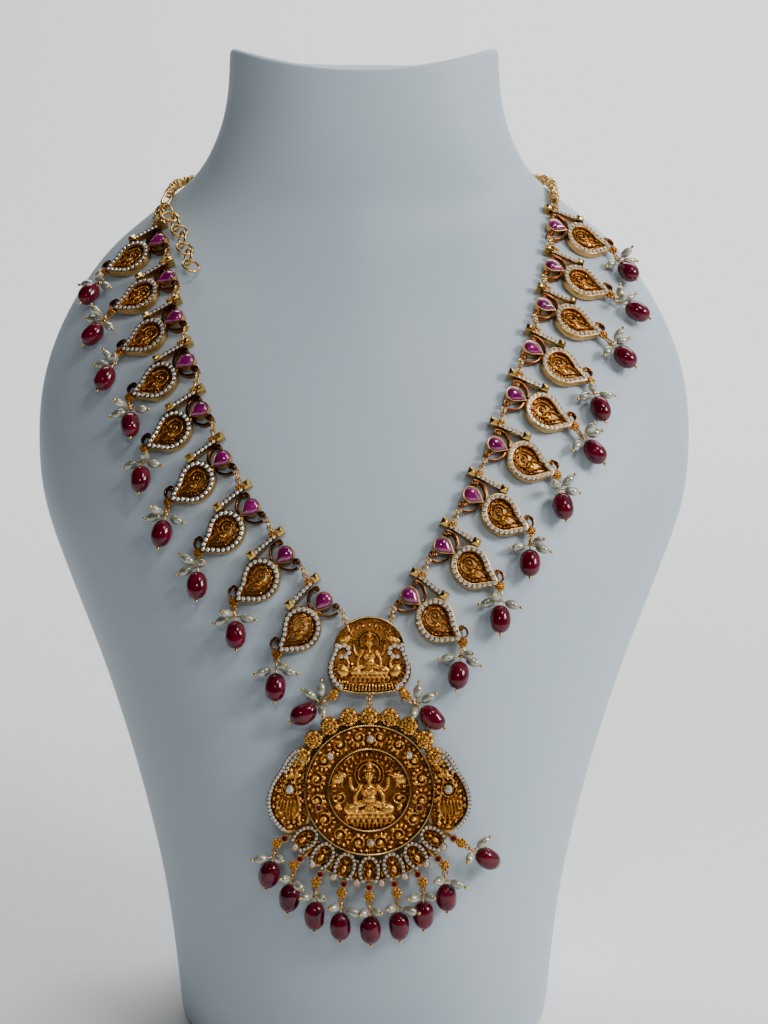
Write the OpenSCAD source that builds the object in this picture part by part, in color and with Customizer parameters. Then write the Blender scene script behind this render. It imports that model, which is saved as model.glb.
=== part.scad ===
// Temple jewellery necklace laid on a plain neck bust. Millimetres, Z up, the front faces -Y.
// The origin lies on the floor under the middle of the foot of the bust.

/* [Bust] */
// Height of the bust
bust_h = 345; // [330:5:360]
// Width across the shoulders
bust_w = 239.5; // [230:0.5:250]
// Depth from the breast to the back
bust_depth = 165; // [155:1:175]
// Depth of the dish in the top of the neck
neck_dip = 9; // [3:1:12]
// Roundness of the rim of the neck
rim_round = 3; // [1.5:0.5:4]
// Small round at the foot
foot_round = 1.5; // [1:0.5:3]

/* [Chain of links] */
// Links on each side
links_per_side = 9; // [7:1:9]
// Distance from one link to the next
link_pitch = 20.3; // [19.5:0.1:20.6]
// Clearance between the bust and what lies on it
seat_gap = 0.4; // [0.3:0.1:1]
// Mean diameter of a link ring
ring_d = 2.8; // [2.6:0.1:3.2]
// Wire of a link ring
ring_wire = 0.6; // [0.5:0.05:0.7]
// Sideways shift of both pendants from the middle of the bust
pendant_shift = 2.4; // [-3:0.2:3]

/* [Link plate] */
// Thickness of a link plate at its rims
plate_t = 2.6; // [2:0.1:3.2]
// Thickness of the sunk floor of the paisley
floor_t = 1.2; // [0.8:0.1:1.6]
// Radius of the round body of the paisley
paisley_r = 7.1; // [6.6:0.1:7.4]
// Width of the rim that carries the white stones
rim_w = 1.9; // [1.5:0.1:2.2]
// Wire width of the crescents and curls
strip_w = 1.1; // [0.8:0.1:1.4]
// Width of the slanted bar
bar_w = 1.9; // [1.5:0.1:2.2]
// Side of a pyramid stud
stud_w = 2.8; // [2.2:0.1:3.2]
// Mean diameter of an eye
eye_d = 1.7; // [1.6:0.05:1.9]
// Wire of an eye
eye_wire = 0.5; // [0.4:0.05:0.55]

/* [Ruby stones] */
// Radius of the round end of a pear cabochon
pear_r = 2.35; // [2:0.05:2.5]
// Length of the cabochon's tip from its centre
pear_tip = 4.2; // [3.6:0.1:4.4]
// Height of the cabochon over its bezel floor
pear_h = 2.4; // [1.8:0.1:2.8]
// Wall of the bezel
bezel_wall = 0.5; // [0.4:0.05:0.7]
// Gap between a stone and its seat
stone_gap = 0.1; // [0.1:0.02:0.15]

/* [Drops] */
// Diameter of a ruby bead
bead_d = 7; // [6:0.2:7.4]
// Length of a ruby bead
bead_l = 9.6; // [8:0.2:10]
// Diameter of a rice pearl
pearl_d = 3.4; // [3:0.1:3.6]
// Length of a rice pearl
pearl_l = 5; // [4.4:0.1:5.4]
// Wire of a head pin
pin_wire = 0.5; // [0.4:0.05:0.6]
// Diameter of the ball that ends a head pin
pin_ball = 1.2; // [1:0.05:1.4]
// Diameter of the soldered hub of a drop
hub_ball = 1.5; // [1.4:0.05:1.6]
// Distance from the hub of a drop to its beads
bead_start = 1.9; // [1.8:0.1:2.2]
// Mean diameter of a drop's jump ring
drop_ring_d = 2; // [1.9:0.05:2.4]
// Radius of a rosette
rosette_r = 1.9; // [1.5:0.1:2.1]

/* [Small pendant] */
// Height of its centre on the bust
small_z = 141.7; // [140:0.1:143]
// Width of the small pendant
small_w = 28; // [26:0.5:29]
// Height of the small pendant
small_h = 26; // [25:0.5:28]
// Thickness of the small pendant
small_t = 3; // [2.4:0.1:3.4]

/* [Main pendant] */
// Height of its ring's centre on the bust
main_z = 99.4; // [98:0.1:100]
// Radius of the outer ring
main_r = 21.5; // [20.5:0.1:22]
// Radius of the inner ring
inner_r = 13.9; // [13:0.1:14.5]
// Thickness of the main pendant
main_t = 3.2; // [2.6:0.1:3.6]
// Petals in the fan
petals = 7; // [5:1:7]
// Drops under the fan
fan_drops = 9; // [7:1:9]

/* [Back chain] */
// Wire of a chain link
chain_wire = 1; // [0.9:0.05:1.1]
// Mean width of a chain link
chain_w = 3.3; // [3.2:0.05:3.6]
// Mean length that a chain link aims at
chain_len = 6.4; // [6.2:0.1:8]
// Gap between chain links that pull on each other
chain_gap = 0.24; // [0.16:0.01:0.25]
// Height of the chain over the bust
chain_lift = 3.2; // [3:0.1:3.4]
// Mean diameter of an extender ring
extender_d = 6; // [5.6:0.1:6.2]
// Wire of an extender ring
extender_wire = 0.9; // [0.7:0.05:0.95]
// Number of extender rings
extender_count = 8; // [3:1:8]
// Height of the extender rings over the bust
extender_lift = 4.1; // [3.8:0.1:4.4]

/* [Hidden] */
// Sections of the bust. Columns: share of the height, half width as a share of half the bust's
// width, front and back as shares of the depth, squareness of the outline.
SECTIONS = [
    [0.000, 0.556, 0.057, 0.84, 2.60],
    [0.070, 0.570, 0.019, 0.85, 2.60],
    [0.160, 0.603, 0.000, 0.86, 2.50],
    [0.270, 0.684, 0.028, 0.89, 2.40],
    [0.370, 0.786, 0.080, 0.93, 2.30],
    [0.460, 0.900, 0.144, 0.97, 2.20],
    [0.530, 0.980, 0.203, 1.00, 2.10],
    [0.600, 1.000, 0.274, 1.00, 2.00],
    [0.660, 0.985, 0.350, 1.00, 1.90],
    [0.720, 0.922, 0.440, 1.00, 1.70],
    [0.770, 0.835, 0.540, 1.00, 1.55],
    [0.805, 0.745, 0.605, 1.00, 1.50],
    [0.825, 0.665, 0.628, 0.995, 1.55],
    [0.840, 0.578, 0.630, 0.99, 1.70],
    [0.880, 0.489, 0.622, 0.98, 2.00],
    [0.920, 0.438, 0.615, 0.975, 2.10],
    [0.960, 0.418, 0.612, 0.97, 2.10],
    [1.000, 0.415, 0.610, 0.97, 2.10]
];
// Where the chain of links lies. Columns: x and z on the bust, droop of the link below the square
// to the chain in degrees, outward lean of its drop in degrees.
ROUTE_RIGHT = [
    [15.5, 160.5, 9, -10], [26.5, 176, 5, -4], [36.5, 192, 4, -8], [45, 208, 3, 3],
    [52, 224, 7, 30], [58.5, 238.5, 10, 5], [63.5, 252, 11, 28], [67.5, 265, 13, 45],
    [69, 278, 8, 8]
];
ROUTE_LEFT = [
    [-12.5, 159, 10, 0], [-25.5, 173.5, 6, -8], [-37.5, 188.5, 8, -4], [-47.5, 203.5, 11, 4],
    [-55.5, 219, 13, -4], [-61, 234.5, 15, -16], [-66, 248.5, 17, 10], [-70, 261.5, 18, 20],
    [-74, 273, 12, 5]
];
// Spots under a link plate that must stay off the bust. Columns: x and y on the plate.
PLATE_SPOTS = [[-4, 7], [-1, 9], [0, 0], [-1, -7], [6, 5], [6, -5], [12, 6], [12, 0], [12, -6],
               [18, 4], [18, -4], [23, 0]];
// Where the back chain lies round the neck. Columns: place along its half, share of the bust's
// height, angle round it, extra height over the bust.
NAPE_RIGHT = [
    [0, 0.842, 11, 1.1], [0.2, 0.85, -8, 1.2], [0.45, 0.858, -32, 0.2], [0.75, 0.862, -62, 0],
    [1, 0.862, -90, 0]
];
NAPE_LEFT = [
    [0, 0.833, 15, 1.1], [0.2, 0.846, -6, 1.4], [0.45, 0.857, -32, 0.3], [0.75, 0.862, -62, 0],
    [1, 0.862, -90, 0]
];
// Where the extender rings hang, on the bust. Columns: x and z.
EXTENDER = [[-67, 277], [-64.5, 271], [-61.8, 265], [-59.2, 259], [-57.6, 252], [-57, 245]];
// Outline of the paisley. Columns: angle from the tip's side, radius as a share of paisley_r.
PAISLEY = [
    [-180, 1.03], [-150, 0.99], [-120, 0.95], [-90, 0.95], [-60, 1.01], [-36, 1.07], [-20, 1.14],
    [-8, 1.29], [3, 1.45], [14, 1.20], [28, 0.96], [48, 0.88], [70, 0.89], [100, 0.98],
    [140, 1.06], [180, 1.03]
];
// Ways that the three pearls of a drop spread. Columns: azimuth and rise of each pearl in degrees.
SPREAD = [
    [69, 6, 123, 8, -95, 62],
    [72, 8, -72, 8, 100, 64],
    [70, 8, -74, 8, -98, 62],
    [74, 8, -71, 8, 102, 64]
];
// Lean of each drop under the fan. Columns: lean of the ruby bead, azimuth and rise of each pearl.
FAN_LEAN = [
    [-14, -68, 20, 96, 64], [-8, 62, 52, -96, 62], [-2, -90, 50, 92, 64], [-2, 70, 14, -96, 60],
    [2, 90, 60, -84, 66], [4, 72, 20, -96, 62], [2, 92, 62, -90, 50], [4, 66, 22, -94, 62],
    [58, 72, 14, -92, 60]
];

round_fn = 48;
small_floor = small_t * 0.5;
main_floor = main_t * 0.45;
bead_bore = pin_wire + 0.4;
bead_end = bead_bore / 2 + 0.7;
pearl_end = bead_bore / 2 + 0.25;
mid_t = plate_t / 2;
bezel_h = plate_t + 0.4;
bezel_floor = bezel_h - pear_h * 0.7;
paisley_c = [12.3, -0.3];
rosette_at = [paisley_c[0] + paisley_r * 1.45 + rosette_r * 0.6, 0.4];
bar_y = 7.2;
bar_x0 = -3.8;
bar_x1 = 8.7;
bar_lean = 3.5;
curl_c = [-0.9, -4.55];
curl_r = 1.2;
crescent_r = 4.5;
lower_eye = [-0.9, -7.15];
top_floret = [-1.2, 8];
floret_r = 1.3;
eye_z = plate_t * 0.73;
drop_eye_gap = rosette_r + eye_d / 2 - 0.1;
ring_steps = 30;
side_steps = 44;
gold = [0.80, 0.55, 0.22];
ruby_red = [0.55, 0.03, 0.16];
cabochon_pink = [0.72, 0.05, 0.42];
pearl_white = [0.88, 0.87, 0.80];
bust_white = [0.80, 0.84, 0.88];

// Vectors

function unit(v) = v / norm(v);
function flat_to(v, n) = unit(v - n * (v * n));

// Smooth curve through the rows of a table. t runs along its first column.

function row_at(T, t) = max([0, for (i = [0 : len(T) - 2]) if (T[i][0] <= t) i]);
function row_slope(T, i, c) =
    let (a = max(i - 1, 0), b = min(i + 1, len(T) - 1))
    (T[b][c] - T[a][c]) / (T[b][0] - T[a][0]);
function curve(T, t, c) =
    let (i = row_at(T, t), h = T[i + 1][0] - T[i][0], s = (t - T[i][0]) / h)
    (2 * s ^ 3 - 3 * s ^ 2 + 1) * T[i][c] + (s ^ 3 - 2 * s ^ 2 + s) * h * row_slope(T, i, c)
    + (3 * s ^ 2 - 2 * s ^ 3) * T[i + 1][c] + (s ^ 3 - s ^ 2) * h * row_slope(T, i + 1, c);

// Surface of the bust

foot_middle = (SECTIONS[0][2] + SECTIONS[0][3]) / 2 * bust_depth;
function section(t) =
    let (u = min(max(t, 0), 1), f = curve(SECTIONS, u, 2), b = curve(SECTIONS, u, 3))
    [curve(SECTIONS, u, 1) * bust_w / 2, (f + b) / 2 * bust_depth - foot_middle,
     (b - f) / 2 * bust_depth, curve(SECTIONS, u, 4)];
function front_y(x, z) =
    let (s = section(z / bust_h), q = min(abs(x) / s[0], 1))
    s[1] - s[2] * (1 - q ^ s[3]) ^ (1 / s[3]);
function seat(x, z) = [x, front_y(x, z), z];
function seat_normal(x, z) =
    let (e = 0.5)
    unit([(front_y(x + e, z) - front_y(x - e, z)) / (2 * e), -1,
          (front_y(x, z + e) - front_y(x, z - e)) / (2 * e)]);
function rise(p) = (p - seat(p[0], p[2])) * seat_normal(p[0], p[2]);
function power(v, p) = sign(v) * abs(v) ^ p;
function outline(t, angle) =
    let (s = section(t), p = 2 / s[3])
    [s[0] * power(cos(angle), p), s[1] - s[2] * power(sin(angle), p), t * bust_h];
function outline_normal(t, angle) =
    unit(cross(outline(t + 0.004, angle) - outline(t - 0.004, angle),
               outline(t, angle + 2) - outline(t, angle - 2)));
function wrapped(row, side) =
    let (p = outline(row[0], row[1]) + outline_normal(row[0], row[1]) * (chain_lift + row[2]))
    [side * p[0], p[1], p[2], side * outline_normal(row[0], row[1])[0],
     outline_normal(row[0], row[1])[1], outline_normal(row[0], row[1])[2]];

// Bust

function dished(p, t) =
    let (w = max(0, (t - 0.9) / 0.1), q = p[0] / section(t)[0])
    [p[0], p[1], p[2] - neck_dip * w * w * (1 - q * q)];
function shrunk(t, inset, angle, z) =
    let (s = section(t), p = outline(t, angle), k = (s[2] - inset) / s[2], m = (s[0] - inset) / s[0])
    [p[0] * m, s[1] + (p[1] - s[1]) * k, z];
function bust_ring(t, inset) =
    [for (i = [0 : side_steps - 1]) dished(shrunk(t, inset, i * 360 / side_steps, t * bust_h), t)];
function rim_row(a) = [1 - rim_round * (1 - sin(a)) / bust_h, rim_round * (1 - cos(a))];

module bust() {
    first = foot_round / bust_h;
    last = 1 - rim_round / bust_h;
    rows = concat(
        [[0, foot_round], [first, 0]],
        [for (i = [1 : ring_steps - 1]) [first + (last - first) * i / ring_steps, 0]],
        [for (a = [0 : 30 : 90]) rim_row(a)],
        [[1, section(1)[2] * 0.5], [1, section(1)[2] * 0.85]]
    );
    n = side_steps;
    m = len(rows);
    points = [for (r = rows) each bust_ring(r[0], r[1])];
    walls = [for (j = [0 : m - 2]) for (i = [0 : n - 1])
        each [[j * n + i, (j + 1) * n + i, j * n + (i + 1) % n],
              [j * n + (i + 1) % n, (j + 1) * n + i, (j + 1) * n + (i + 1) % n]]];
    foot = [[for (i = [0 : n - 1]) i]];
    top = [[for (i = [n - 1 : -1 : 0]) (m - 1) * n + i]];
    color(bust_white) polyhedron(points, concat(walls, foot, top));
}

// Frames: [origin, outward, up, off the bust]. Outward is left on the left side.

function route(side) = side > 0 ? ROUTE_RIGHT : ROUTE_LEFT;
function span(R, i) = norm(seat(R[i + 1][0], R[i + 1][1]) - seat(R[i][0], R[i][1]));
function run_to(R, n) = n == 0 ? 0 : run_to(R, n - 1) + span(R, n - 1);
function route_row(R, length) =
    let (i = max([0, for (j = [0 : len(R) - 2]) if (run_to(R, j) <= length) j]))
    R[i] + (R[i + 1] - R[i]) * (length - run_to(R, i)) / span(R, i);
function sunk(p, u, v, spots) = max([0, for (q = spots) -rise(p + u * q[0] + v * q[1])]);
function link_frame_at(side, k) =
    let (
        R = route(side), length = (k - 1) * link_pitch, r = route_row(R, length),
        a = route_row(R, length - 4), b = route_row(R, length + 4), p = seat(r[0], r[1]),
        n0 = seat_normal(r[0], r[1]), up = flat_to(seat(b[0], b[1]) - seat(a[0], a[1]), n0),
        out = side * cross(up, n0), aim = out * cos(r[2]) - up * sin(r[2]),
        climb = up * cos(r[2]) + out * sin(r[2]), q0 = p + aim * 16,
        u = unit(seat(q0[0], q0[2]) - p), high = p + climb * 9, low = p - climb * 7,
        w = seat(high[0], high[2]) - seat(low[0], low[2]), n = unit(side * cross(u, w)),
        v = side * cross(n, u)
    )
    [p + n * (sunk(p, u, v, PLATE_SPOTS) + seat_gap), u, v, n];
FRAMES = [for (side = [-1, 1]) [for (k = [1 : links_per_side]) link_frame_at(side, k)]];
function link_frame(side, k) = FRAMES[(side + 1) / 2][k - 1];
function pendant_frame_at(z, w, h) =
    let (p = seat(pendant_shift, z), n = seat_normal(pendant_shift, z), u = flat_to([1, 0, 0], n),
         v = cross(n, u),
         deep = sunk(p, u, v, [for (x = [-w, -w / 2, 0, w / 2, w]) for (y = [-h, 0, h]) [x, y]]))
    [p + n * (deep + seat_gap), u, v, n];
SMALL_FRAME = pendant_frame_at(small_z, small_w / 2, small_h / 2);
MAIN_FRAME = pendant_frame_at(main_z, main_r + 10, main_r + 6);
function world(f, q) = f[0] + q[0] * f[1] + q[1] * f[2] + q[2] * f[3];
module in_frame(f, side) {
    u = side * f[1];
    v = f[2];
    n = f[3];
    o = f[0];
    multmatrix([[u[0], v[0], n[0], o[0]], [u[1], v[1], n[1], o[1]], [u[2], v[2], n[2], o[2]]])
        if (side < 0) mirror([1, 0, 0]) children(); else children();
}
module axis_frame(o, z_axis, x_hint) {
    n = unit(z_axis);
    u = flat_to(x_hint, n);
    v = cross(n, u);
    multmatrix([[u[0], v[0], n[0], o[0]], [u[1], v[1], n[1], o[1]], [u[2], v[2], n[2], o[2]]])
        children();
}

// Small metal forms

module torus(d, wire) {
    rotate_extrude($fn = round_fn) translate([d / 2, 0]) circle(d = wire, $fn = 24);
}
module rod(a, b, wire) {
    axis_frame(a, b - a, [0.31, 0.52, 0.8]) cylinder(h = norm(b - a), d = wire, $fn = 24);
}
module strip(centre, r, from, sweep, h) {
    translate([centre[0], centre[1], 0]) rotate([0, 0, from])
        rotate_extrude(angle = sweep, $fn = round_fn) translate([r - strip_w / 2, 0])
            square([strip_w, h]);
}
module spiral(centre, r, h) {
    strip(centre, r, 0, 360, h);
    translate([centre[0], centre[1], 0]) cylinder(h = h * 0.7, r = r - strip_w / 2 + 0.15, $fn = 24);
}
module stud(x, y) {
    translate([x - stud_w / 2, y - stud_w / 2, 0]) cube([stud_w, stud_w, plate_t]);
    translate([x, y, plate_t - 0.01]) rotate([0, 0, 45])
        cylinder(h = stud_w * 0.42, r1 = stud_w * 0.707, r2 = 0.2, $fn = 4);
}
module rosette(r) {
    sphere(r = r * 0.72, $fn = 24);
    for (a = [0 : 60 : 300]) rotate([0, 0, a]) translate([r * 0.68, 0, 0])
        sphere(r = r * 0.36, $fn = 24);
}
module floret(r, h) {
    cylinder(h = h, r = r * 0.55, $fn = 24);
    for (a = [45 : 90 : 315]) rotate([0, 0, a]) translate([r * 0.55, 0, 0])
        cylinder(h = h * 0.9, r = r * 0.42, $fn = 24);
}

// Link plate. x runs outward from the cabochon's centre, y up the chain.

function paisley_points(inset) =
    [for (a = [-180 : 10 : 170]) let (r = curve(PAISLEY, a, 1) * paisley_r - inset)
        paisley_c + r * [cos(a), sin(a)]];
function pear_points(grow) =
    let (r = pear_r + grow, tip = pear_tip + grow * 1.4, a0 = acos(r / tip))
    concat([[tip, 0]], [for (i = [0 : 14]) let (a = a0 + (360 - 2 * a0) * i / 14) r * [cos(a), sin(a)]]);

module bezel() {
    difference() {
        linear_extrude(bezel_h) polygon(pear_points(bezel_wall + stone_gap));
        translate([0, 0, bezel_floor]) linear_extrude(bezel_h) polygon(pear_points(stone_gap));
    }
}
module cabochon() {
    dome_r = (pear_tip ^ 2 + pear_h ^ 2) / (1.2 * pear_h);
    color(cabochon_pink) translate([0, 0, bezel_floor + stone_gap]) intersection() {
        linear_extrude(pear_h) polygon(pear_points(0));
        translate([0.6, 0, pear_h - dome_r]) sphere(r = dome_r, $fn = round_fn);
    }
}
module bird_relief() {
    c = paisley_c;
    h = plate_t + 0.3;
    strip([c[0] - 0.8, c[1] + 0.2], 3.1, 40, 250, h);
    strip([c[0] + 1.0, c[1] - 1.2], 1.6, -60, 260, h);
    translate([c[0] + 1.0, c[1] - 1.2, plate_t * 0.6]) sphere(r = 1.1, $fn = 24);
    translate([c[0] - 2.4, c[1] + 1.6, plate_t * 0.5]) sphere(r = 1.1, $fn = 24);
}
module motif_plate() {
    linear_extrude(floor_t) polygon(paisley_points(0));
    difference() {
        linear_extrude(plate_t) polygon(paisley_points(0));
        translate([0, 0, -1]) linear_extrude(plate_t + 2) polygon(paisley_points(rim_w));
    }
    bird_relief();
    bezel();
    translate([5.2, -0.6, 0]) cylinder(h = plate_t * 0.9, r = 1.1, $fn = 24);
    strip([0.3, 0.9], crescent_r, 12, 100, plate_t * 0.85);
    spiral([-1.2, 4.3], 1.1, plate_t * 0.78);
    strip([-0.3, -1.7], crescent_r, -78, 80, plate_t * 0.85);
    spiral(curl_c, curl_r, plate_t * 0.78);
    translate([bar_x0, bar_y - bar_w / 2 - 0.4, 0]) rotate([0, 0, bar_lean])
        cube([bar_x1 - bar_x0, bar_w, plate_t * 0.9]);
    stud(bar_x0, bar_y - 0.3);
    stud(bar_x1, bar_y + 0.2);
    translate([top_floret[0], top_floret[1], 0]) floret(floret_r, plate_t);
    tip = paisley_c + paisley_r * [1.36, 0.28];
    strip(tip + [-0.6, 1.0], 1.9, -60, 190, plate_t * 0.8);
    translate([rosette_at[0], rosette_at[1], mid_t]) rosette(rosette_r);
}

function local_eye(q) = [q[0], q[1], eye_z];
function low_eye(side, k) = world(link_frame(side, k), local_eye(lower_eye));
function top_eye(side, k) =
    let (f = link_frame(side, k), base = world(f, local_eye(top_floret)))
    k == links_per_side ? world(f, local_eye(top_floret + [0, floret_r + eye_d / 2]))
    : low_eye(side, k + 1) + unit(base - low_eye(side, k + 1)) * ring_d;

// A drop hangs from an eye. Its frame is [eye centre, sideways, up, off the bust].

function drop_frame(f, side, at, lean) =
    let (
        n = f[3], down = flat_to([0, 0, -1], n), out = side * cross(-down, n),
        g = down * cos(lean) + out * sin(lean), centre = world(f, [at[0], at[1], mid_t])
    )
    [centre + g * drop_eye_gap, side * cross(-g, n), -g, n];
function hub(d) = d[0] - d[2] * drop_ring_d;
function aim(d, azimuth, rise_angle) =
    cos(rise_angle) * (-cos(azimuth) * d[2] + sin(azimuth) * d[1]) + sin(rise_angle) * d[3];
function lying(d, azimuth, least, reach, r) =
    let (
        flat = aim(d, azimuth, 0), h = rise(hub(d) + flat * reach),
        need = asin(min(max((r + seat_gap - h) / reach, -0.6), 0.9)),
        second = rise(hub(d) + aim(d, azimuth, need) * reach),
        more = need + asin(min(max((r + seat_gap - second) / reach, -0.5), 0.5))
    )
    aim(d, azimuth, max(least, more));
module eye_ring(centre, n) {
    axis_frame(centre, n, [0.3, 0.2, 0.9]) torus(eye_d, eye_wire);
}
module drop_pins(d, aims, lengths) {
    axis_frame(d[0] - d[2] * drop_ring_d / 2, d[1], d[2]) torus(drop_ring_d, ring_wire);
    axis_frame(hub(d), d[1], d[2]) sphere(d = hub_ball, $fn = 24);
    for (i = [0 : len(aims) - 1]) {
        reach = bead_start + lengths[i] + pin_ball / 2 + 0.1;
        rod(hub(d) + aims[i] * hub_ball / 3, hub(d) + aims[i] * reach, pin_wire);
        translate(hub(d) + aims[i] * reach) sphere(d = pin_ball, $fn = 24);
    }
}
module bead(d, l, end_r) {
    r = d / 2;
    off = ((l / 2) ^ 2 + end_r ^ 2 - r ^ 2) / (2 * (r - end_r));
    rotate_extrude($fn = round_fn) intersection() {
        translate([-off, 0]) circle(r = off + r, $fn = 96);
        translate([bead_bore / 2, -l / 2]) square([r, l]);
    }
}
module bead_on(d, direction, diameter, l, end_r) {
    axis_frame(hub(d) + direction * (bead_start + l / 2), direction, [0.31, 0.52, 0.8])
        bead(diameter, l, end_r);
}
function ruby_reach() = bead_start + bead_l / 2;
function pearl_reach() = bead_start + pearl_l / 2;

function link_drop(side, k) =
    let (r = route_row(route(side), (k - 1) * link_pitch))
    drop_frame(link_frame(side, k), side, rosette_at, route(side)[k - 1][3]);
function link_aims(side, k) =
    let (d = link_drop(side, k), s = SPREAD[(side > 0 ? k : k + 1) % len(SPREAD)])
    concat([lying(d, 0, -35, ruby_reach(), bead_d / 2)],
           [for (i = [0 : 2]) lying(d, s[2 * i], s[2 * i + 1], pearl_reach(), pearl_d / 2)]);

// Small pendant, x right, y up from its centre

module dome(x, y, z, r) {
    translate([x, y, z]) difference() {
        sphere(r = r, $fn = 24);
        translate([-2 * r, -2 * r, -4 * r]) cube(4 * r);
    }
}
function arch_points(grow) =
    let (w = small_w / 2 + grow, h = small_h / 2 + grow)
    concat(
        [for (a = [0 : 15 : 180]) [w * 0.86 * cos(a), h * 0.12 + h * 0.88 * sin(a)]],
        [[-w * 0.97, -h * 0.18], [-w, -h * 0.42], [-w * 0.93, -h * 0.66], [-w * 0.74, -h * 0.88],
         [-w * 0.4, -h * 0.97], [0, -h], [w * 0.4, -h * 0.97], [w * 0.74, -h * 0.88],
         [w * 0.93, -h * 0.66], [w, -h * 0.42], [w * 0.97, -h * 0.18]]
    );
module seated_figure(s) {
    scale(s) {
        translate([0, -6.4, 0]) linear_extrude(1.7)
            polygon([[-7, -1.6], [7, -1.6], [7.6, 0], [6.4, 1.2], [-6.4, 1.2], [-7.6, 0]]);
        for (m = [-1, 1]) {
            dome(m * 3.6, -4.2, 0, 2.2);
            dome(m * 3.4, 0.2, 0, 1.3);
            dome(m * 5.2, 2.6, 0, 1.2);
        }
        dome(0, -4.4, 0, 2.5);
        dome(0, -1.2, 0, 2.4);
        dome(0, 1.4, 0, 2.1);
        dome(0, 5, 0, 2);
        translate([0, 6.2, 0]) cylinder(h = 1.6, r = 1.5, $fn = 24);
        translate([0, 7.8, 0]) cylinder(h = 1.4, r = 0.8, $fn = 24);
        translate([0, 5, 0]) difference() {
            cylinder(h = 1, r = 4, $fn = round_fn);
            translate([0, 0, -1]) cylinder(h = 4, r = 3.1, $fn = round_fn);
        }
    }
}
module small_pendant() {
    f = SMALL_FRAME;
    color(gold) union() {
        in_frame(f, 1) {
            linear_extrude(small_t * 0.6) polygon(arch_points(0));
            difference() {
                linear_extrude(small_t) polygon(arch_points(0));
                translate([0, 0, -1]) linear_extrude(small_t + 2) polygon(arch_points(-1.5));
            }
            translate([0, -0.5, small_floor]) seated_figure(1);
            for (m = [-1, 1]) {
                translate([m * small_w * 0.34, -small_h * 0.12, 0]) strip([0, 0], 2.6, 60, 240, small_t);
                dome(m * small_w * 0.34, -small_h * 0.12, small_floor, 1.5);
                dome(m * small_w * 0.24, small_h * 0.24, small_floor, 2.1);
                translate([m * 11.2, -12, 0]) cylinder(h = small_t * 0.8, r = 1.5, $fn = 24);
                translate([m * small_knob()[0], small_knob()[1], mid_t]) rosette(rosette_r);
            }
        }
        for (side = [-1, 1]) {
            e = shoulder_eye(side);
            eye_ring(e, f[3]);
            inner = world(f, [side * small_w * 0.24, small_h * 0.3, mid_t]);
            rod(e + unit(inner - e) * eye_d / 2, inner, 1.2);
            small = small_drop(side);
            eye_ring(small[0], small[3]);
        }
        bottom = bail_eye(f, -1);
        eye_ring(bottom, f[3]);
    }
}
function small_knob() = [12.1, -13.3];
function shoulder_eye(side) =
    let (f = SMALL_FRAME, low = low_eye(side, 1),
         shoulder = world(f, [side * small_w * 0.24, small_h * 0.3, mid_t]))
    low + unit(shoulder - low) * ring_d;
function small_drop(side) =
    drop_frame(SMALL_FRAME, side, [side * small_knob()[0], small_knob()[1]],
               side > 0 ? 50 : 58);
function small_aims(side) =
    let (d = small_drop(side))
    concat([lying(d, 0, -20, ruby_reach(), bead_d / 2)],
           [for (s = [[70, 10], [124, 12], [-70, 48]])
               lying(d, s[0], s[1], pearl_reach(), pearl_d / 2)]);

// Bail: two rings between the pendants

function bail_eye(f, end) =
    end < 0 ? world(f, [0, -small_h / 2 - eye_d / 2 + 0.1, eye_z]) : world(f, [0, main_top(), eye_z]);
function main_top() = main_r + 5.7 + eye_d / 2 - 0.1;
module pendant_bail() {
    a = bail_eye(SMALL_FRAME, -1);
    b = bail_eye(MAIN_FRAME, 1);
    n = SMALL_FRAME[3];
    color(gold) axis_frame((a + b) / 2, cross(b - a, n), n) torus(norm(b - a), ring_wire);
}

// Main pendant, x right, y up from the centre of its rings

function fan_angle(i, n) = -150 + 120 * i / (n - 1);
function petal_angle(i) = -143 + 106 * i / (petals - 1);
function panel_points(grow) =
    [[20, 9], [23.5, 13.4], [27, 10.8], [29.5, 6.5], [32.2, 2.2], [33.6, -2.6], [33.2, -7.2],
     [30.6, -11.6], [27, -14.2], [22.5, -13.2], [19.5, -9]] * ((33.6 + grow) / 33.6);
module petal(angle) {
    rotate([0, 0, angle]) translate([main_r - 1, -1.5, 0]) cube([3, 3, main_t * 0.4]);
    rotate([0, 0, angle]) translate([main_r + 4.6, 0, 0]) {
        cylinder(h = main_t * 0.62, r = 3.9, $fn = round_fn);
        strip([0, 0], 3.3, -150, 300, main_t);
        dome(0.4, 0, main_floor, 1.8);
    }
}
module main_pendant() {
    f = MAIN_FRAME;
    color(gold) union() {
        in_frame(f, 1) {
            cylinder(h = main_t * 0.5, r = main_r, $fn = 96);
            ring_wall(main_r, 1, main_t + 0.2);
            ring_wall(inner_r, 0.9, main_t + 0.4);
            translate([0, -1, main_floor]) seated_figure(1.2);
            for (a = [0 : 24 : 336]) rotate([0, 0, a])
                dome((main_r + inner_r) / 2, 0, main_floor, 1.7);
            for (i = [0 : 8]) if (i != 4) rotate([0, 0, 26 + 16 * i])
                translate([main_r + 3.1, 0, 0]) crown_floret();
            translate([0, main_r + 2.3, 0]) cylinder(h = main_t * 0.8, r = 3.4, $fn = 24);
            for (i = [0 : petals - 1]) petal(petal_angle(i));
            for (m = [0, 1]) mirror([m, 0, 0]) side_panel();
            for (i = [0 : fan_drops - 1]) rotate([0, 0, fan_angle(i, fan_drops)]) {
                translate([main_r + 5.4, -0.7, 0]) cube([9, 1.4, main_t * 0.5]);
                translate([main_r + 10.6, 0, 0]) cylinder(h = main_t * 0.7, r = 1.5, $fn = 24);
                translate([fan_r(), 0, mid_t]) rosette(rosette_r);
            }
        }
        for (i = [0 : fan_drops - 1]) {
            d = fan_drop(i);
            eye_ring(d[0], d[3]);
        }
        eye_ring(bail_eye(f, 1), f[3]);
    }
}
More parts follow.
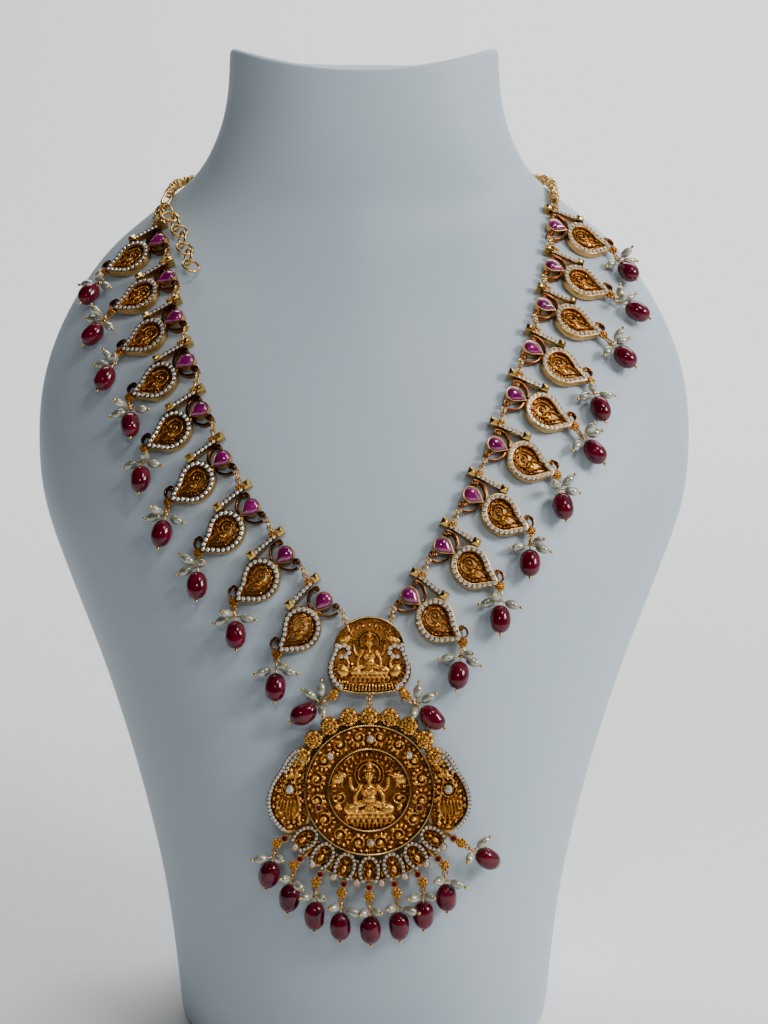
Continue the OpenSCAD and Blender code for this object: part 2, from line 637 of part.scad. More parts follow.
module ring_wall(r, w, h) {
    rotate_extrude($fn = 96) translate([r - w, 0]) square([w, h]);
}
module crown_floret() {
    cylinder(h = main_t * 0.5, r = 3.3, $fn = 24);
    dome(0, 0, main_floor, 1.3);
}
module side_panel() {
    linear_extrude(main_t * 0.6) polygon(panel_points(0));
    difference() {
        linear_extrude(main_t) polygon(panel_points(0));
        translate([-0.6, 0, -1]) linear_extrude(main_t + 2) polygon(panel_points(-2));
    }
    dome(26, -4, main_floor, 2.4);
    dome(25.5, 2.5, main_floor, 1.7);
}
function fan_r() = main_r + 13.6;
function fan_drop(i) =
    let (a = fan_angle(i, fan_drops), f = MAIN_FRAME)
    drop_frame(f, 1, fan_r() * [cos(a), sin(a)], FAN_LEAN[i][0]);
function fan_aims(i) =
    let (d = fan_drop(i))
    concat([lying(d, 0, -30, ruby_reach(), bead_d / 2)],
           [for (j = [1, 3])
               lying(d, FAN_LEAN[i][j], FAN_LEAN[i][j + 1], pearl_reach(), pearl_d / 2)]);

// Rings between the links

module link_rings(side) {
    color(gold) for (k = [0 : links_per_side]) {
        a = k == 0 ? shoulder_eye(side) : top_eye(side, k);
        b = k == links_per_side ? chain_end(side) : low_eye(side, k + 1);
        n = link_frame(side, max(k, 1))[3];
        axis_frame((a + b) / 2, cross(b - a, n), n) torus(ring_d, ring_wire);
    }
}

// Back chain. Its path is a table: run along it, place, direction off the bust.

chain_eye_gap = ring_d - (ring_wire + chain_wire) / 2 - 0.1;
nape_step = 0.1;
extender_rise = 0.6;
extender_slack = 0.8;
function last_frame(side) = link_frame(side, links_per_side);
function chain_aim(side) =
    flat_to(place_of(wrapped(nape_row(side, 0), side)) - top_eye(side, links_per_side),
            last_frame(side)[3]);
function chain_end(side) = top_eye(side, links_per_side) + chain_aim(side) * ring_d;
function chain_start(side) =
    concat(top_eye(side, links_per_side) + chain_aim(side) * chain_eye_gap, last_frame(side)[3]);
function nape_row(side, s) =
    let (T = side > 0 ? NAPE_RIGHT : NAPE_LEFT)
    [for (c = [1 : 3]) curve(T, s, c)];
function chain_path() =
    concat([chain_start(-1)], [for (s = [0 : nape_step : 1]) wrapped(nape_row(-1, s), -1)],
           [for (s = [1 - nape_step : -nape_step : 0]) wrapped(nape_row(1, s), 1)],
           [chain_start(1)]);
function place_of(row) = [row[0], row[1], row[2]];
function run(P, i) = i == 0 ? 0 : run(P, i - 1) + norm(place_of(P[i]) - place_of(P[i - 1]));
function path_table(P) = [for (i = [0 : len(P) - 1]) concat([run(P, i)], P[i])];
function total_run(T) = T[len(T) - 1][0];
function along(T, s) = [for (c = [1 : 3]) curve(T, s, c)];
function off_bust(T, s, ahead) = flat_to([for (c = [4 : 6]) curve(T, s, c)], ahead);

chain_step = chain_len - chain_wire - chain_gap;
CHAIN = path_table(chain_path());
chain_n = 2 * round((total_run(CHAIN) - chain_len) / (2 * chain_step)) + 1;
link_len = (total_run(CHAIN) + (chain_n - 1) * (chain_wire + chain_gap)) / chain_n;
hook_index = 1;
middle_index = (chain_n - 1) / 2;

module chain_link(len_mean) {
    r = chain_w / 2;
    half = round((len_mean / 2 - r) * 500) / 500;
    for (m = [0, 180]) rotate([0, 0, m]) {
        translate([0, half, 0]) rotate_extrude(angle = 180, $fn = round_fn) translate([r, 0])
            circle(d = chain_wire, $fn = 24);
        translate([r, -half, 0]) rotate([-90, 0, 0])
            cylinder(h = 2 * half, d = chain_wire, $fn = 24);
    }
}
function chain_ends(i) =
    let (s = i * (link_len - chain_wire - chain_gap))
    [along(CHAIN, s), along(CHAIN, s + link_len)];
module chain_links(first, last) {
    color(gold) for (i = [first : last]) if (i != hook_index || first == last) {
        e = chain_ends(i);
        ahead = unit(e[1] - e[0]);
        out = off_bust(CHAIN, (i + 0.5) * (link_len - chain_wire - chain_gap), ahead);
        flat_way = i % 2 == 0 ? out : cross(ahead, out);
        axis_frame((e[0] + e[1]) / 2, flat_way, cross(ahead, flat_way))
            chain_link(norm(e[1] - e[0]));
    }
}

// Extender rings hang from the side wire of the first chain link on the left

function first_across() = let (e = chain_ends(0)) cross(unit(e[1] - e[0]), last_frame(-1)[3]);
function inward() = first_across() * sign(first_across()[0]);
function extender_path() =
    let (e = chain_ends(0),
         start = (e[0] + e[1]) / 2 + inward() * ((chain_w + extender_d) / 2 - extender_seat)
                 + last_frame(-1)[3] * extender_rise)
    concat([concat(start, last_frame(-1)[3])],
           [for (r = EXTENDER) concat(seat(r[0], r[1]) + seat_normal(r[0], r[1]) * extender_lift,
                                      seat_normal(r[0], r[1]))]);
extender_seat = (chain_wire + extender_wire) / 2 + 0.5;
EXTENDED = path_table(extender_path());
extender_step = extender_d - extender_wire - 0.3;
module extender_rings() {
    color(gold) for (i = [0 : extender_count - 1]) {
        s = i == 0 ? 0 : i * extender_step - extender_slack;
        ahead = i == 0 ? inward() : unit(along(EXTENDED, s + 1) - along(EXTENDED, s - 1));
        out = off_bust(EXTENDED, s, ahead);
        turn = i % 2 == 0 ? -52 : 34;
        second = cos(turn) * cross(ahead, out) + sin(turn) * out;
        axis_frame(along(EXTENDED, s), cross(ahead, second), ahead)
            torus(extender_d, extender_wire);
    }
}

// Drops of one side

module side_pins(side) {
    color(gold) {
        for (k = [1 : links_per_side])
            drop_pins(link_drop(side, k), link_aims(side, k), [bead_l, pearl_l, pearl_l, pearl_l]);
        drop_pins(small_drop(side), small_aims(side), [bead_l, pearl_l, pearl_l, pearl_l]);
    }
}
module side_rubies(side) {
    color(ruby_red) {
        for (k = [1 : links_per_side])
            bead_on(link_drop(side, k), link_aims(side, k)[0], bead_d, bead_l, bead_end);
        bead_on(small_drop(side), small_aims(side)[0], bead_d, bead_l, bead_end);
    }
}
module side_pearls(side) {
    color(pearl_white) {
        for (k = [1 : links_per_side]) for (i = [1 : 3])
            bead_on(link_drop(side, k), link_aims(side, k)[i], pearl_d, pearl_l, pearl_end);
        for (i = [1 : 3])
            bead_on(small_drop(side), small_aims(side)[i], pearl_d, pearl_l, pearl_end);
    }
}
module fan_pins() {
    color(gold) for (i = [0 : fan_drops - 1])
        drop_pins(fan_drop(i), fan_aims(i), [bead_l, pearl_l, pearl_l]);
}
module fan_rubies() {
    color(ruby_red) for (i = [0 : fan_drops - 1])
        bead_on(fan_drop(i), fan_aims(i)[0], bead_d, bead_l, bead_end);
}
module fan_pearls() {
    color(pearl_white) for (i = [0 : fan_drops - 1]) for (j = [1, 2])
        bead_on(fan_drop(i), fan_aims(i)[j], pearl_d, pearl_l, pearl_end);
}

module motif_link(side, k) {
    f = link_frame(side, k);
    color(gold) union() {
        in_frame(f, side) motif_plate();
        low = low_eye(side, k);
        eye_ring(low, f[3]);
        top = top_eye(side, k);
        eye_ring(top, f[3]);
        base = world(f, local_eye(top_floret));
        rod(top + unit(base - top) * eye_d / 2, base, 1);
        d = link_drop(side, k);
        eye_ring(d[0], f[3]);
    }
}
module ruby_cabochon(side, k) {
    in_frame(link_frame(side, k), side) cabochon();
}

bust();
small_pendant();
main_pendant();
pendant_bail();
for (k = [1 : links_per_side]) {
    motif_link(1, k);
    motif_link(-1, k);
    ruby_cabochon(1, k);
    ruby_cabochon(-1, k);
}
link_rings(1);  // link_rings_right
link_rings(-1);  // link_rings_left
side_pins(1);  // drop_pins_right
side_pins(-1);  // drop_pins_left
side_rubies(1);  // drop_rubies_right
side_rubies(-1);  // drop_rubies_left
side_pearls(1);  // drop_pearls_right
side_pearls(-1);  // drop_pearls_left
fan_pins();
fan_rubies();
fan_pearls();
chain_links(0, middle_index);  // back_chain_left
chain_links(middle_index + 1, chain_n - 1);  // back_chain_right
chain_links(hook_index, hook_index);  // clasp_hook
extender_rings();
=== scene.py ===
"""Looks of a temple jewellery necklace laid on its neck bust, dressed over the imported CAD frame."""

import math

import bmesh
import bpy
import numpy as np
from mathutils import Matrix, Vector
from mathutils.bvhtree import BVHTree


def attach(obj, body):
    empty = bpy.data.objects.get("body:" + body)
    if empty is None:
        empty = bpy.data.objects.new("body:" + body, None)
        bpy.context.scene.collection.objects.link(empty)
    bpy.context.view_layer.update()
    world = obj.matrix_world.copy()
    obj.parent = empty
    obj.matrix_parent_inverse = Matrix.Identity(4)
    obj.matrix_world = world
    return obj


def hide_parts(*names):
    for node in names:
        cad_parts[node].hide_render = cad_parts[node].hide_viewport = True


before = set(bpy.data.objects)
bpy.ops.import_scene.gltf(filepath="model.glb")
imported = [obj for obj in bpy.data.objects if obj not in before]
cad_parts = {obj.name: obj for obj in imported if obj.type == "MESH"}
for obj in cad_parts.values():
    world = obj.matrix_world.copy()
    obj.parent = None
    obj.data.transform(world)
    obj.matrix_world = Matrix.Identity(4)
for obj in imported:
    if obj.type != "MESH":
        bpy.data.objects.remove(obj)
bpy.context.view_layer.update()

MM = 0.001
LINKS = 9
SIDES = (("right", 1), ("left", -1))
UP = np.array([0.0, 0.0, 1.0])
FAR = 1000.0

# Sizes in millimetres that the looks share with the CAD part
PLATE_T, FLOOR_T = 2.6, 1.2
PAISLEY_R, PAISLEY_C, RIM_W = 7.1, np.array([12.3, -0.3]), 1.9
BEZEL_H, BEZEL_WALL, STONE_Z = 3.0, 0.5, 1.42
PEAR_R, PEAR_TIP, PEAR_H = 2.35, 4.2, 2.4
EYE_D, EYE_WIRE, EYE_Z = 1.7, 0.5, 1.9
RING_D = 2.8
LOWER_EYE, TOP_FLORET = (-0.9, -7.15), (-1.2, 8.0)
ROSETTE_R = 1.9
EYE_GAP = ROSETTE_R + EYE_D / 2 - 0.1
ROSETTE_AT = (PAISLEY_C[0] + PAISLEY_R * 1.45 + ROSETTE_R * 0.6, 0.4)
BEAD_D, BEAD_L, PEARL_D, PEARL_L = 7.0, 9.6, 3.4, 5.0
PENDANT_X, SMALL_Z, MAIN_Z = 2.4, 141.7, 99.4
SMALL_W, SMALL_H, SMALL_T = 28.0, 26.0, 3.0
SMALL_KNOB = np.array([12.1, -13.3])
MAIN_R, INNER_R, MAIN_T = 21.5, 13.9, 3.2
PETALS, PETAL_START, PETAL_SWEEP = 7, -143, 106
FAN_DROPS, FAN_START, FAN_STEP, FAN_OUT = 9, -150, 15, MAIN_R + 13.6

# Sizes of the looks alone
LINK_STONE_R = 0.71
WEAR_DEPTH = 1.1
FILLER_SIZE = [0.78, 0.6, 0.74]
BEAD_ROWS, BEAD_SIDES = 18, 22
ROPE_D, ROPE_WIRE, ROPE_STEP, ROPE_TURN = 3.1, 0.95, 1.3, 57
ROPE_ALONG, ROPE_ACROSS, HOOK_ROOM = 0.76, 0.65, 2.6

# Each paisley row: angle about its middle, share of its radius
PAISLEY = (
    (-180, 1.03), (-150, 0.99), (-120, 0.95), (-90, 0.95), (-60, 1.01), (-36, 1.07), (-20, 1.14),
    (-8, 1.29), (3, 1.45), (14, 1.20), (28, 0.96), (48, 0.88), (70, 0.89), (100, 0.98),
    (140, 1.06), (180, 1.03),
)


# Points and curves, in millimetres

def unit(v):
    return np.asarray(v, float) / np.linalg.norm(v)


def polar(turn, r=1.0):
    """The point, or the points, at an angle in degrees and a radius."""
    a = np.radians(turn)
    return r * np.stack([np.cos(a), np.sin(a)], -1)


def about_z(angle):
    """What turns points by an angle in radians about z."""
    c, s = math.cos(angle), math.sin(angle)
    return np.array([[c, s, 0], [-s, c, 0], [0, 0, 1]])


def turned_to(n, hint):
    """Three directions: the third along n, the first square to n and to a hint."""
    u = unit(np.cross(n, hint))
    return np.array([u, np.cross(n, u), n])


def at_height(points, z):
    """Flat points, raised to one height."""
    return np.column_stack([points, np.full(len(points), z)])


def arc(centre, radius, start, sweep, steps=24):
    return np.asarray(centre) + polar(np.linspace(start, start + sweep, steps + 1), radius)


def scroll(centre, outer, inner, start, turns, steps=36):
    """A spiral that winds in from radius outer to radius inner."""
    radius = np.linspace(outer, inner, steps + 1)[:, None]
    return np.asarray(centre) + polar(start + 360 * turns * np.linspace(0, 1, steps + 1), radius)


def flowing(points, steps=6, closed=False):
    """A smooth curve through a few points."""
    p = np.asarray(points, float)
    n = len(p)
    if closed:
        ring = np.concatenate([p[-1:], p, p[:2]])
    else:
        ring = np.concatenate([2 * p[:1] - p[1:2], p, 2 * p[-1:] - p[-2:-1]])
    out = []
    for i in range(n if closed else n - 1):
        a, b, c, d = ring[i:i + 4]
        for t in np.arange(steps) / steps:
            out.append(0.5 * (2 * b + (c - a) * t + (2 * a - 5 * b + 4 * c - d) * t ** 2
                              + (3 * b - a - 3 * c + d) * t ** 3))
    if not closed:
        out.append(p[-1])
    return np.array(out)


def spaced(path, count, closed=True):
    """Points at equal steps along a path."""
    p = np.concatenate([path, path[:1]]) if closed else np.asarray(path)
    run = np.concatenate([[0], np.cumsum(np.linalg.norm(np.diff(p, axis=0), axis=1))])
    at = np.linspace(0, run[-1], count + 1)[:-1] if closed else np.linspace(0, run[-1], count)
    return np.stack([np.interp(at, run, p[:, i]) for i in range(p.shape[1])], 1)


def sides_of(path, closed=True):
    """The direction to the left of a flat path, at each point."""
    if closed:
        d = np.roll(path, -1, 0) - np.roll(path, 1, 0)
    else:
        d = np.gradient(path, axis=0)
    d = d / np.linalg.norm(d, axis=1)[:, None]
    return np.stack([-d[:, 1], d[:, 0]], 1)


# Mesh building

FLIP = [0, 3, 2, 1]


class Form:
    """Points in millimetres and faces, each with a paint number and a smooth or flat look."""

    def __init__(self):
        self.points, self.faces, self.wear, self.count = [], [], [], 0

    def add(self, points, faces, paint=0, smooth=True, wear=None):
        self.points.append(np.asarray(points, float))
        self.wear.append(np.ones(len(points)) if wear is None else wear)
        self.faces += [(np.asarray(f) + self.count, paint, smooth) for f in faces if len(f)]
        self.count += len(points)

    def stamp(self, template, places, paint=0, smooth=True, size=1.0, turns=None):
        """Copies of a template at each place, each turned about its own z where turns are given."""
        points, faces = template
        for i, place in enumerate(places):
            p = points * size
            if turns is not None:
                p = p @ about_z(turns[i])
            self.add(p + np.asarray(place), faces, paint, smooth)

    def join(self, other, place=lambda p: p, flip=False):
        self.points += [place(p) for p in other.points]
        self.wear += other.wear
        self.faces += [((f[:, ::-1] if flip else f) + self.count, a, b) for f, a, b in other.faces]
        self.count += other.count


def placed(name, data):
    """A new object in the scene."""
    piece = bpy.data.objects.new(name, data)
    bpy.context.scene.collection.objects.link(piece)
    return piece


def make(name, form, paints, sharp):
    """A Blender object of a form, in metres."""
    points = np.concatenate(form.points) * MM
    corners = np.concatenate([f.ravel() for f, _, _ in form.faces])
    sizes = np.concatenate([np.full(len(f), f.shape[1]) for f, _, _ in form.faces])
    mesh = bpy.data.meshes.new(name)
    mesh.vertices.add(len(points))
    mesh.vertices.foreach_set("co", points.astype(np.float32).ravel())
    mesh.loops.add(len(corners))
    mesh.loops.foreach_set("vertex_index", corners.astype(np.int32))
    mesh.polygons.add(len(sizes))
    starts = np.concatenate([[0], np.cumsum(sizes)[:-1]])
    mesh.polygons.foreach_set("loop_start", starts.astype(np.int32))
    paint = np.concatenate([np.full(len(f), a) for f, a, _ in form.faces])
    smooth = np.concatenate([np.full(len(f), b) for f, _, b in form.faces])
    for m in paints:
        mesh.materials.append(m)
    mesh.polygons.foreach_set("material_index", paint.astype(np.int32))
    mesh.polygons.foreach_set("use_smooth", smooth.astype(bool))
    mesh.update(calc_edges=True)
    worn = mesh.attributes.new("wear", "FLOAT", "POINT")
    worn.data.foreach_set("value", np.concatenate(form.wear).astype(np.float32))
    mesh.set_sharp_from_angle(angle=math.radians(sharp))
    return placed(name, mesh)


def dress(node, form, paints, sharp=38):
    """A piece that takes a CAD node's place in the view."""
    piece = make(node + "_look", form, paints, sharp)
    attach(piece, "root")
    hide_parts(node)


def lathe(profile, sides):
    """A turned form from rows of radius and height. A radius of 0 closes that end."""
    a = np.arange(sides) * 2 * math.pi / sides
    points, rows = [], []
    for r, z in profile:
        if r <= 0:
            rows.append([len(points)])
            points.append((0, 0, z))
        else:
            rows.append(list(range(len(points), len(points) + sides)))
            points += [(r * math.cos(t), r * math.sin(t), z) for t in a]
    quads, tris = [], []
    for low, high in zip(rows, rows[1:]):
        for i in range(sides):
            j = (i + 1) % sides
            if len(low) == 1:
                tris.append((low[0], high[j], high[i]))
            elif len(high) == 1:
                tris.append((low[i], low[j], high[0]))
            else:
                quads.append((low[i], low[j], high[j], high[i]))
    faces = [np.array(f) for f in (quads, tris) if f]
    return np.array(points, float), faces


def ball(r, sides, rings):
    rows = [(r * math.sin(x) if 0 < i < rings else 0, -r * math.cos(x))
            for i, x in enumerate(np.linspace(0, math.pi, rings + 1))]
    return lathe(rows, sides)


def bands(n, rows, looped=False):
    """Faces between rows of n points. Each row is a ring, and so are the rows where looped."""
    i, j = np.meshgrid(np.arange(rows if looped else rows - 1), np.arange(n), indexing="ij")
    i2, j2 = (i + 1) % rows, (j + 1) % n
    return np.stack([i * n + j, i * n + j2, i2 * n + j2, i2 * n + j], 2).reshape(-1, 4)


def cap(r, h, sides=12, rings=4):
    """A flat-backed dome."""
    t = np.linspace(0, math.pi / 2, rings + 1)
    rows = [(0, 0)] + [(r * math.cos(x) if i < rings else 0, h * math.sin(x))
                       for i, x in enumerate(t)]
    return lathe(rows, sides)


def torus(d, wire, sides, around):
    a = np.arange(sides) * 2 * math.pi / sides
    b = np.arange(around) * 2 * math.pi / around
    r = d / 2 + wire / 2 * np.cos(b)[None, :]
    p = np.stack([r * np.cos(a)[:, None], r * np.sin(a)[:, None],
                  np.broadcast_to(wire / 2 * np.sin(b), (sides, around))], 2).reshape(-1, 3)
    return p, [bands(around, sides, True)[:, FLIP]]


def rod(start, end, radius, sides):
    """A straight wire between two points, with its ends closed."""
    d = unit(end - start)
    u = unit(np.cross(d, [0.31, 0.52, 0.8]))
    rim = polar(np.arange(sides) * 360 / sides, radius) @ np.array([u, np.cross(d, u)])
    points = np.concatenate([start + rim, end + rim, [start, end]])
    k = np.arange(sides)
    k2 = (k + 1) % sides
    ends = [np.stack([np.full(sides, 2 * sides), k2, k], 1),
            np.stack([np.full(sides, 2 * sides + 1), sides + k, sides + k2], 1)]
    return points, [bands(sides, 2), np.concatenate(ends)]


def swept(path, section, closed=True):
    """A wall along a flat path. Section rows are offset to the left and height, from the outer foot
    over the top to the inner foot."""
    side = sides_of(path, closed)
    section = np.asarray(section, float)
    n, m = len(path), len(section)
    flat = path[:, None, :] + side[:, None, :] * section[None, :, :1]
    high = np.broadcast_to(section[None, :, 1:], (n, m, 1))
    points = np.concatenate([flat, high], 2).reshape(-1, 3)
    faces = [bands(m, n, closed)]
    if not closed:
        faces += [np.arange(m)[None, ::-1], (np.arange(m) + (n - 1) * m)[None, :]]
    return points, faces


def wall(width, height, foot=0.0, bevel=0.18):
    w, b = width / 2, bevel
    return [(-w, foot), (-w, height - b), (-w + b * 0.3, height - b * 0.3), (-w + b, height),
            (w - b, height), (w - b * 0.3, height - b * 0.3), (w, height - b), (w, foot)]


def slab(outline, height, bevel=0.15):
    """A flat plate with a softened upper edge. The outline runs against the clock."""
    n = len(outline)
    inward = sides_of(outline)
    rows = [(0, 0), (0, height - bevel), (bevel * 0.3, height - bevel * 0.3), (bevel, height)]
    points = np.concatenate([at_height(outline + inward * off, z) for off, z in rows])
    k = np.arange(n)
    return points, [bands(n, 4), k[None, ::-1], (3 * n + k)[None, :]]


def field(outline, centre, rings, height, skirt, hole=0.0):
    """A patch of surface inside an outline, raised by a height function of x and y. A skirt runs
    down from its edge to a height, unless that is None."""
    n = len(outline)
    share = hole + (1 - hole) * (np.arange(rings) + (0 if hole else 1)) / (rings - (hole > 0))
    flat = np.asarray(centre) + share[:, None, None] * (outline - centre)[None]
    flat = np.concatenate([flat.reshape(-1, 2), [centre]])
    points = np.column_stack([flat, height(flat)])
    k = np.arange(n)
    k2 = (k + 1) % n
    faces = [bands(n, rings)[:, FLIP]]
    if not hole:
        faces.append(np.stack([np.full(n, rings * n), k, k2], 1))
    if skirt is not None:
        edge, low = (rings - 1) * n, len(points)
        points = np.concatenate([points, at_height(outline, skirt)])
        faces += [np.stack([edge + k, low + k, low + k2, edge + k2], 1), (low + k)[None, ::-1]]
    return points, faces


def cast(form, outline, centre, rings, relief, skirt=1.0, hole=0.0):
    """A field of relief whose low ground keeps its dark patina."""
    points, faces = field(outline, centre, rings, relief, skirt, hole)
    wear = np.clip((points[:, 2] - relief.floor) / WEAR_DEPTH, 0, 1)
    form.add(points, faces, ON_RELIEF, wear=wear)


def brilliant(table_r, crown, depth):
    """A cut stone of radius 1: an eight-sided table, eight crown facets, eight girdle facets and a
    point below."""
    turn = 45 * np.arange(8)
    table = at_height(polar(turn + 22.5, table_r), crown)
    points = np.concatenate([table, at_height(polar(turn), 0), [[0, 0, -depth]]])
    k = np.arange(8)
    k2 = (k + 1) % 8
    stars = np.stack([k, 8 + k, 8 + k2], 1)
    kites = np.stack([k, 8 + k2, k2], 1)
    back = np.stack([8 + k2, 8 + k, np.full(8, 16)], 1)
    return points, [k[None, :], np.concatenate([stars, kites, back])]


# Cast relief: the highest of many small forms

class Relief:
    def __init__(self, floor):
        self.floor, self.parts = floor, []

    def dome(self, centre, r, h, stretch=1.0, turn=0.0, foot=0.0):
        c, s = math.cos(math.radians(turn)), math.sin(math.radians(turn))

        def shape(p):
            q = p - np.asarray(centre)
            x, y = (q[:, 0] * c + q[:, 1] * s) / stretch, q[:, 1] * c - q[:, 0] * s
            d = (x * x + y * y) / (r * r)
            return np.where(d < 1, foot + h * np.sqrt(np.clip(1 - d, 0, 1)), 0)
        self.parts.append(shape)

    def ridge(self, path, width, h, foot=0.0):
        a, b = np.asarray(path[:-1], float), np.asarray(path[1:], float)
        d = b - a
        run = np.maximum((d * d).sum(1), 1e-9)
        low, high = np.min(path, 0) - width, np.max(path, 0) + width

        def shape(p):
            z = np.zeros(len(p))
            near = np.all((p > low) & (p < high), axis=1)
            q = p[near]
            if len(q):
                t = np.clip(((q[:, None] - a) * d).sum(2) / run, 0, 1)
                away = ((q[:, None] - a - t[..., None] * d) ** 2).sum(2).min(1) / width ** 2
                z[near] = np.where(away < 1, foot + h * np.sqrt(np.clip(1 - away, 0, 1)), 0)
            return z
        self.parts.append(shape)

    def beads(self, path, count, r, h, closed=False, foot=0.0):
        for q in spaced(np.asarray(path), count, closed):
            self.dome(q, r, h, foot=foot)

    def __call__(self, p):
        z = np.zeros(len(p))
        for shape in self.parts:
            z = np.maximum(z, shape(p))
        return self.floor + z


class Figure:
    """Draws on a relief in a figure's own measure: from its place, in its size, facing its way."""

    def __init__(self, relief, at=(0, 0), size=1.0, facing=1):
        self.relief, self.at, self.size, self.facing = relief, np.asarray(at), size, facing

    def spots(self, points):
        return self.at + self.size * np.asarray(points, float) * [self.facing, 1]

    def dome(self, x, y, r, h, stretch=1.0, turn=0.0, foot=0.0):
        s = self.size
        self.relief.dome(self.spots((x, y)), s * r, s * h, stretch, turn, s * foot)

    def pair(self, x, y, *more, **named):
        for m in (1, -1):
            self.dome(m * x, y, *more, **named)

    def ridge(self, points, width, h, foot=0.0):
        s = self.size
        self.relief.ridge(self.spots(points), s * width, s * h, s * foot)

    def curve(self, points, *more):
        self.ridge(flowing(points), *more)

    def limbs(self, points, *more):
        for m in (1, -1):
            self.curve(np.asarray(points) * [m, 1], *more)

    def beads(self, points, count, r, h):
        self.relief.beads(self.spots(points), count, self.size * r, self.size * h)


# Frames, read from the CAD pieces: an origin and three directions, in millimetres

def surface(node):
    """A CAD node's triangles, as corner points in millimetres."""
    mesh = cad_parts[node].data
    mesh.calc_loop_triangles()
    co = np.empty(len(mesh.vertices) * 3)
    mesh.vertices.foreach_get("co", co)
    tri = np.empty(len(mesh.loop_triangles) * 3, int)
    mesh.loop_triangles.foreach_get("vertices", tri)
    return co.reshape(-1, 3)[tri.reshape(-1, 3)] / MM


def flat_back(node):
    """The direction off a node's widest flat face, and that face's corner points."""
    t = surface(node)
    area = np.cross(t[:, 1] - t[:, 0], t[:, 2] - t[:, 0])
    size = np.linalg.norm(area, axis=1)
    keep = size > 1e-9
    t, size, normal = t[keep], size[keep], (area[keep].T / size[keep]).T
    key = np.round(normal, 2) @ np.array([1.0, 1000.0, 1e6])
    _, group = np.unique(key, return_inverse=True)
    best = np.argmax(np.bincount(group, size))
    chosen = group == best
    n = unit((normal[chosen] * size[chosen, None]).sum(0))
    return -n, t[chosen].reshape(-1, 3)


def place_in(f):
    """Turns points of a piece's own frame into points of the part's."""
    return lambda p: f[0] + np.asarray(p) @ f[1:]


def link_frame(name, side):
    """The frame of a link, from its cabochon: x to the stone's tip, z off the bust."""
    n, corners = flat_back(f"ruby_cabochon_{name}")
    corners = np.unique(np.round(corners, 3), axis=0)
    centre = corners.mean(0)
    for _ in range(3):
        tip = corners[np.argmax(np.linalg.norm(corners - centre, axis=1))]
        round_part = corners[np.linalg.norm(corners - tip, axis=1) > PEAR_TIP * 0.6]
        centre = circle_middle(round_part, n)
    u = unit(tip - centre)
    v = np.cross(n, u) * side
    return np.array([centre - n * STONE_Z, u, v, n])


def circle_middle(points, n):
    u = unit(np.cross(n, UP))
    v = np.cross(n, u)
    m = points.mean(0)
    x, y = (points - m) @ u, (points - m) @ v
    rows = np.column_stack([2 * x, 2 * y, np.ones(len(x))])
    a, b, _ = np.linalg.lstsq(rows, x * x + y * y, rcond=None)[0]
    return m + a * u + b * v


def pendant_frame(node, z, shell):
    """The frame of a pendant: its middle is the bust's point at z, moved off along its normal."""
    n, corners = flat_back(node)
    p = np.array(shell.ray_cast(Vector((PENDANT_X, -FAR, z)), Vector((0, 1, 0)))[0])
    u = unit(np.array([1.0, 0, 0]) - n * n[0])
    return np.array([p + n * ((corners.mean(0) - p) @ n), u, np.cross(n, u), n])


def islands(node):
    """The loose solids of a CAD node, each as its triangles in millimetres."""
    t = surface(node)
    flat = np.round(t.reshape(-1, 3), 4)
    _, index = np.unique(flat, axis=0, return_inverse=True)
    index = index.reshape(-1, 3)
    parent = np.arange(index.max() + 1)

    def root(i):
        while parent[i] != i:
            parent[i] = parent[parent[i]]
            i = parent[i]
        return i
    for a, b, c in index:
        ra, rb, rc = root(a), root(b), root(c)
        parent[rb] = ra
        parent[rc] = ra
    roots = np.array([root(i) for i in range(len(parent))])[index[:, 0]]
    return [t[roots == r] for r in np.unique(roots)]


def long_axis(t):
    """The middle and the long direction of a turned solid."""
    area = np.linalg.norm(np.cross(t[:, 1] - t[:, 0], t[:, 2] - t[:, 0]), axis=1)
    middle = t.mean(1)
    centre = (middle * area[:, None]).sum(0) / area.sum()
    q = middle - centre
    spread = (q[:, :, None] * q[:, None, :] * area[:, None, None]).sum(0)
    return centre, np.linalg.eigh(spread)[1][:, -1]


# Materials

def shader(name, **values):
    m = bpy.data.materials.new(name)
    m.use_nodes = True
    tree = m.node_tree
    bsdf = tree.nodes["Principled BSDF"]
    for key, value in values.items():
        bsdf.inputs[key.replace("_", " ")].default_value = value
    return m, tree, bsdf


def node(tree, kind, **values):
    n = tree.nodes.new("ShaderNode" + kind)
    for key, value in values.items():
        if key in n.inputs:
            n.inputs[key].default_value = value
        else:
            setattr(n, key, value)
    return n


def noise(tree, scale, detail):
    where = node(tree, "TexCoord")
    n = node(tree, "TexNoise", Scale=scale, Detail=detail, Roughness=0.55)
    tree.links.new(where.outputs["Object"], n.inputs["Vector"])
    return n.outputs["Fac"]


def ramp(tree, source, stops):
    r = node(tree, "ValToRGB")
    line = r.color_ramp
    while len(line.elements) < len(stops):
        line.elements.new(0.5)
    for e, (at, colour) in zip(line.elements, stops):
        e.position = at
        e.color = (*colour, 1)
    tree.links.new(source, r.inputs["Fac"])
    return r


def tinted(tree, bsdf, source, stops):
    tint = ramp(tree, source, stops)
    tree.links.new(tint.outputs["Color"], bsdf.inputs["Base Color"])


def bump(tree, bsdf, source, strength, distance):
    b = node(tree, "Bump", Strength=strength, Distance=distance)
    tree.links.new(source, b.inputs["Height"])
    tree.links.new(b.outputs["Normal"], bsdf.inputs["Normal"])


def roughened(tree, bsdf, source, low, high):
    r = node(tree, "MapRange")
    r.inputs["To Min"].default_value = low
    r.inputs["To Max"].default_value = high
    tree.links.new(source, r.inputs["Value"])
    tree.links.new(r.outputs["Result"], bsdf.inputs["Roughness"])


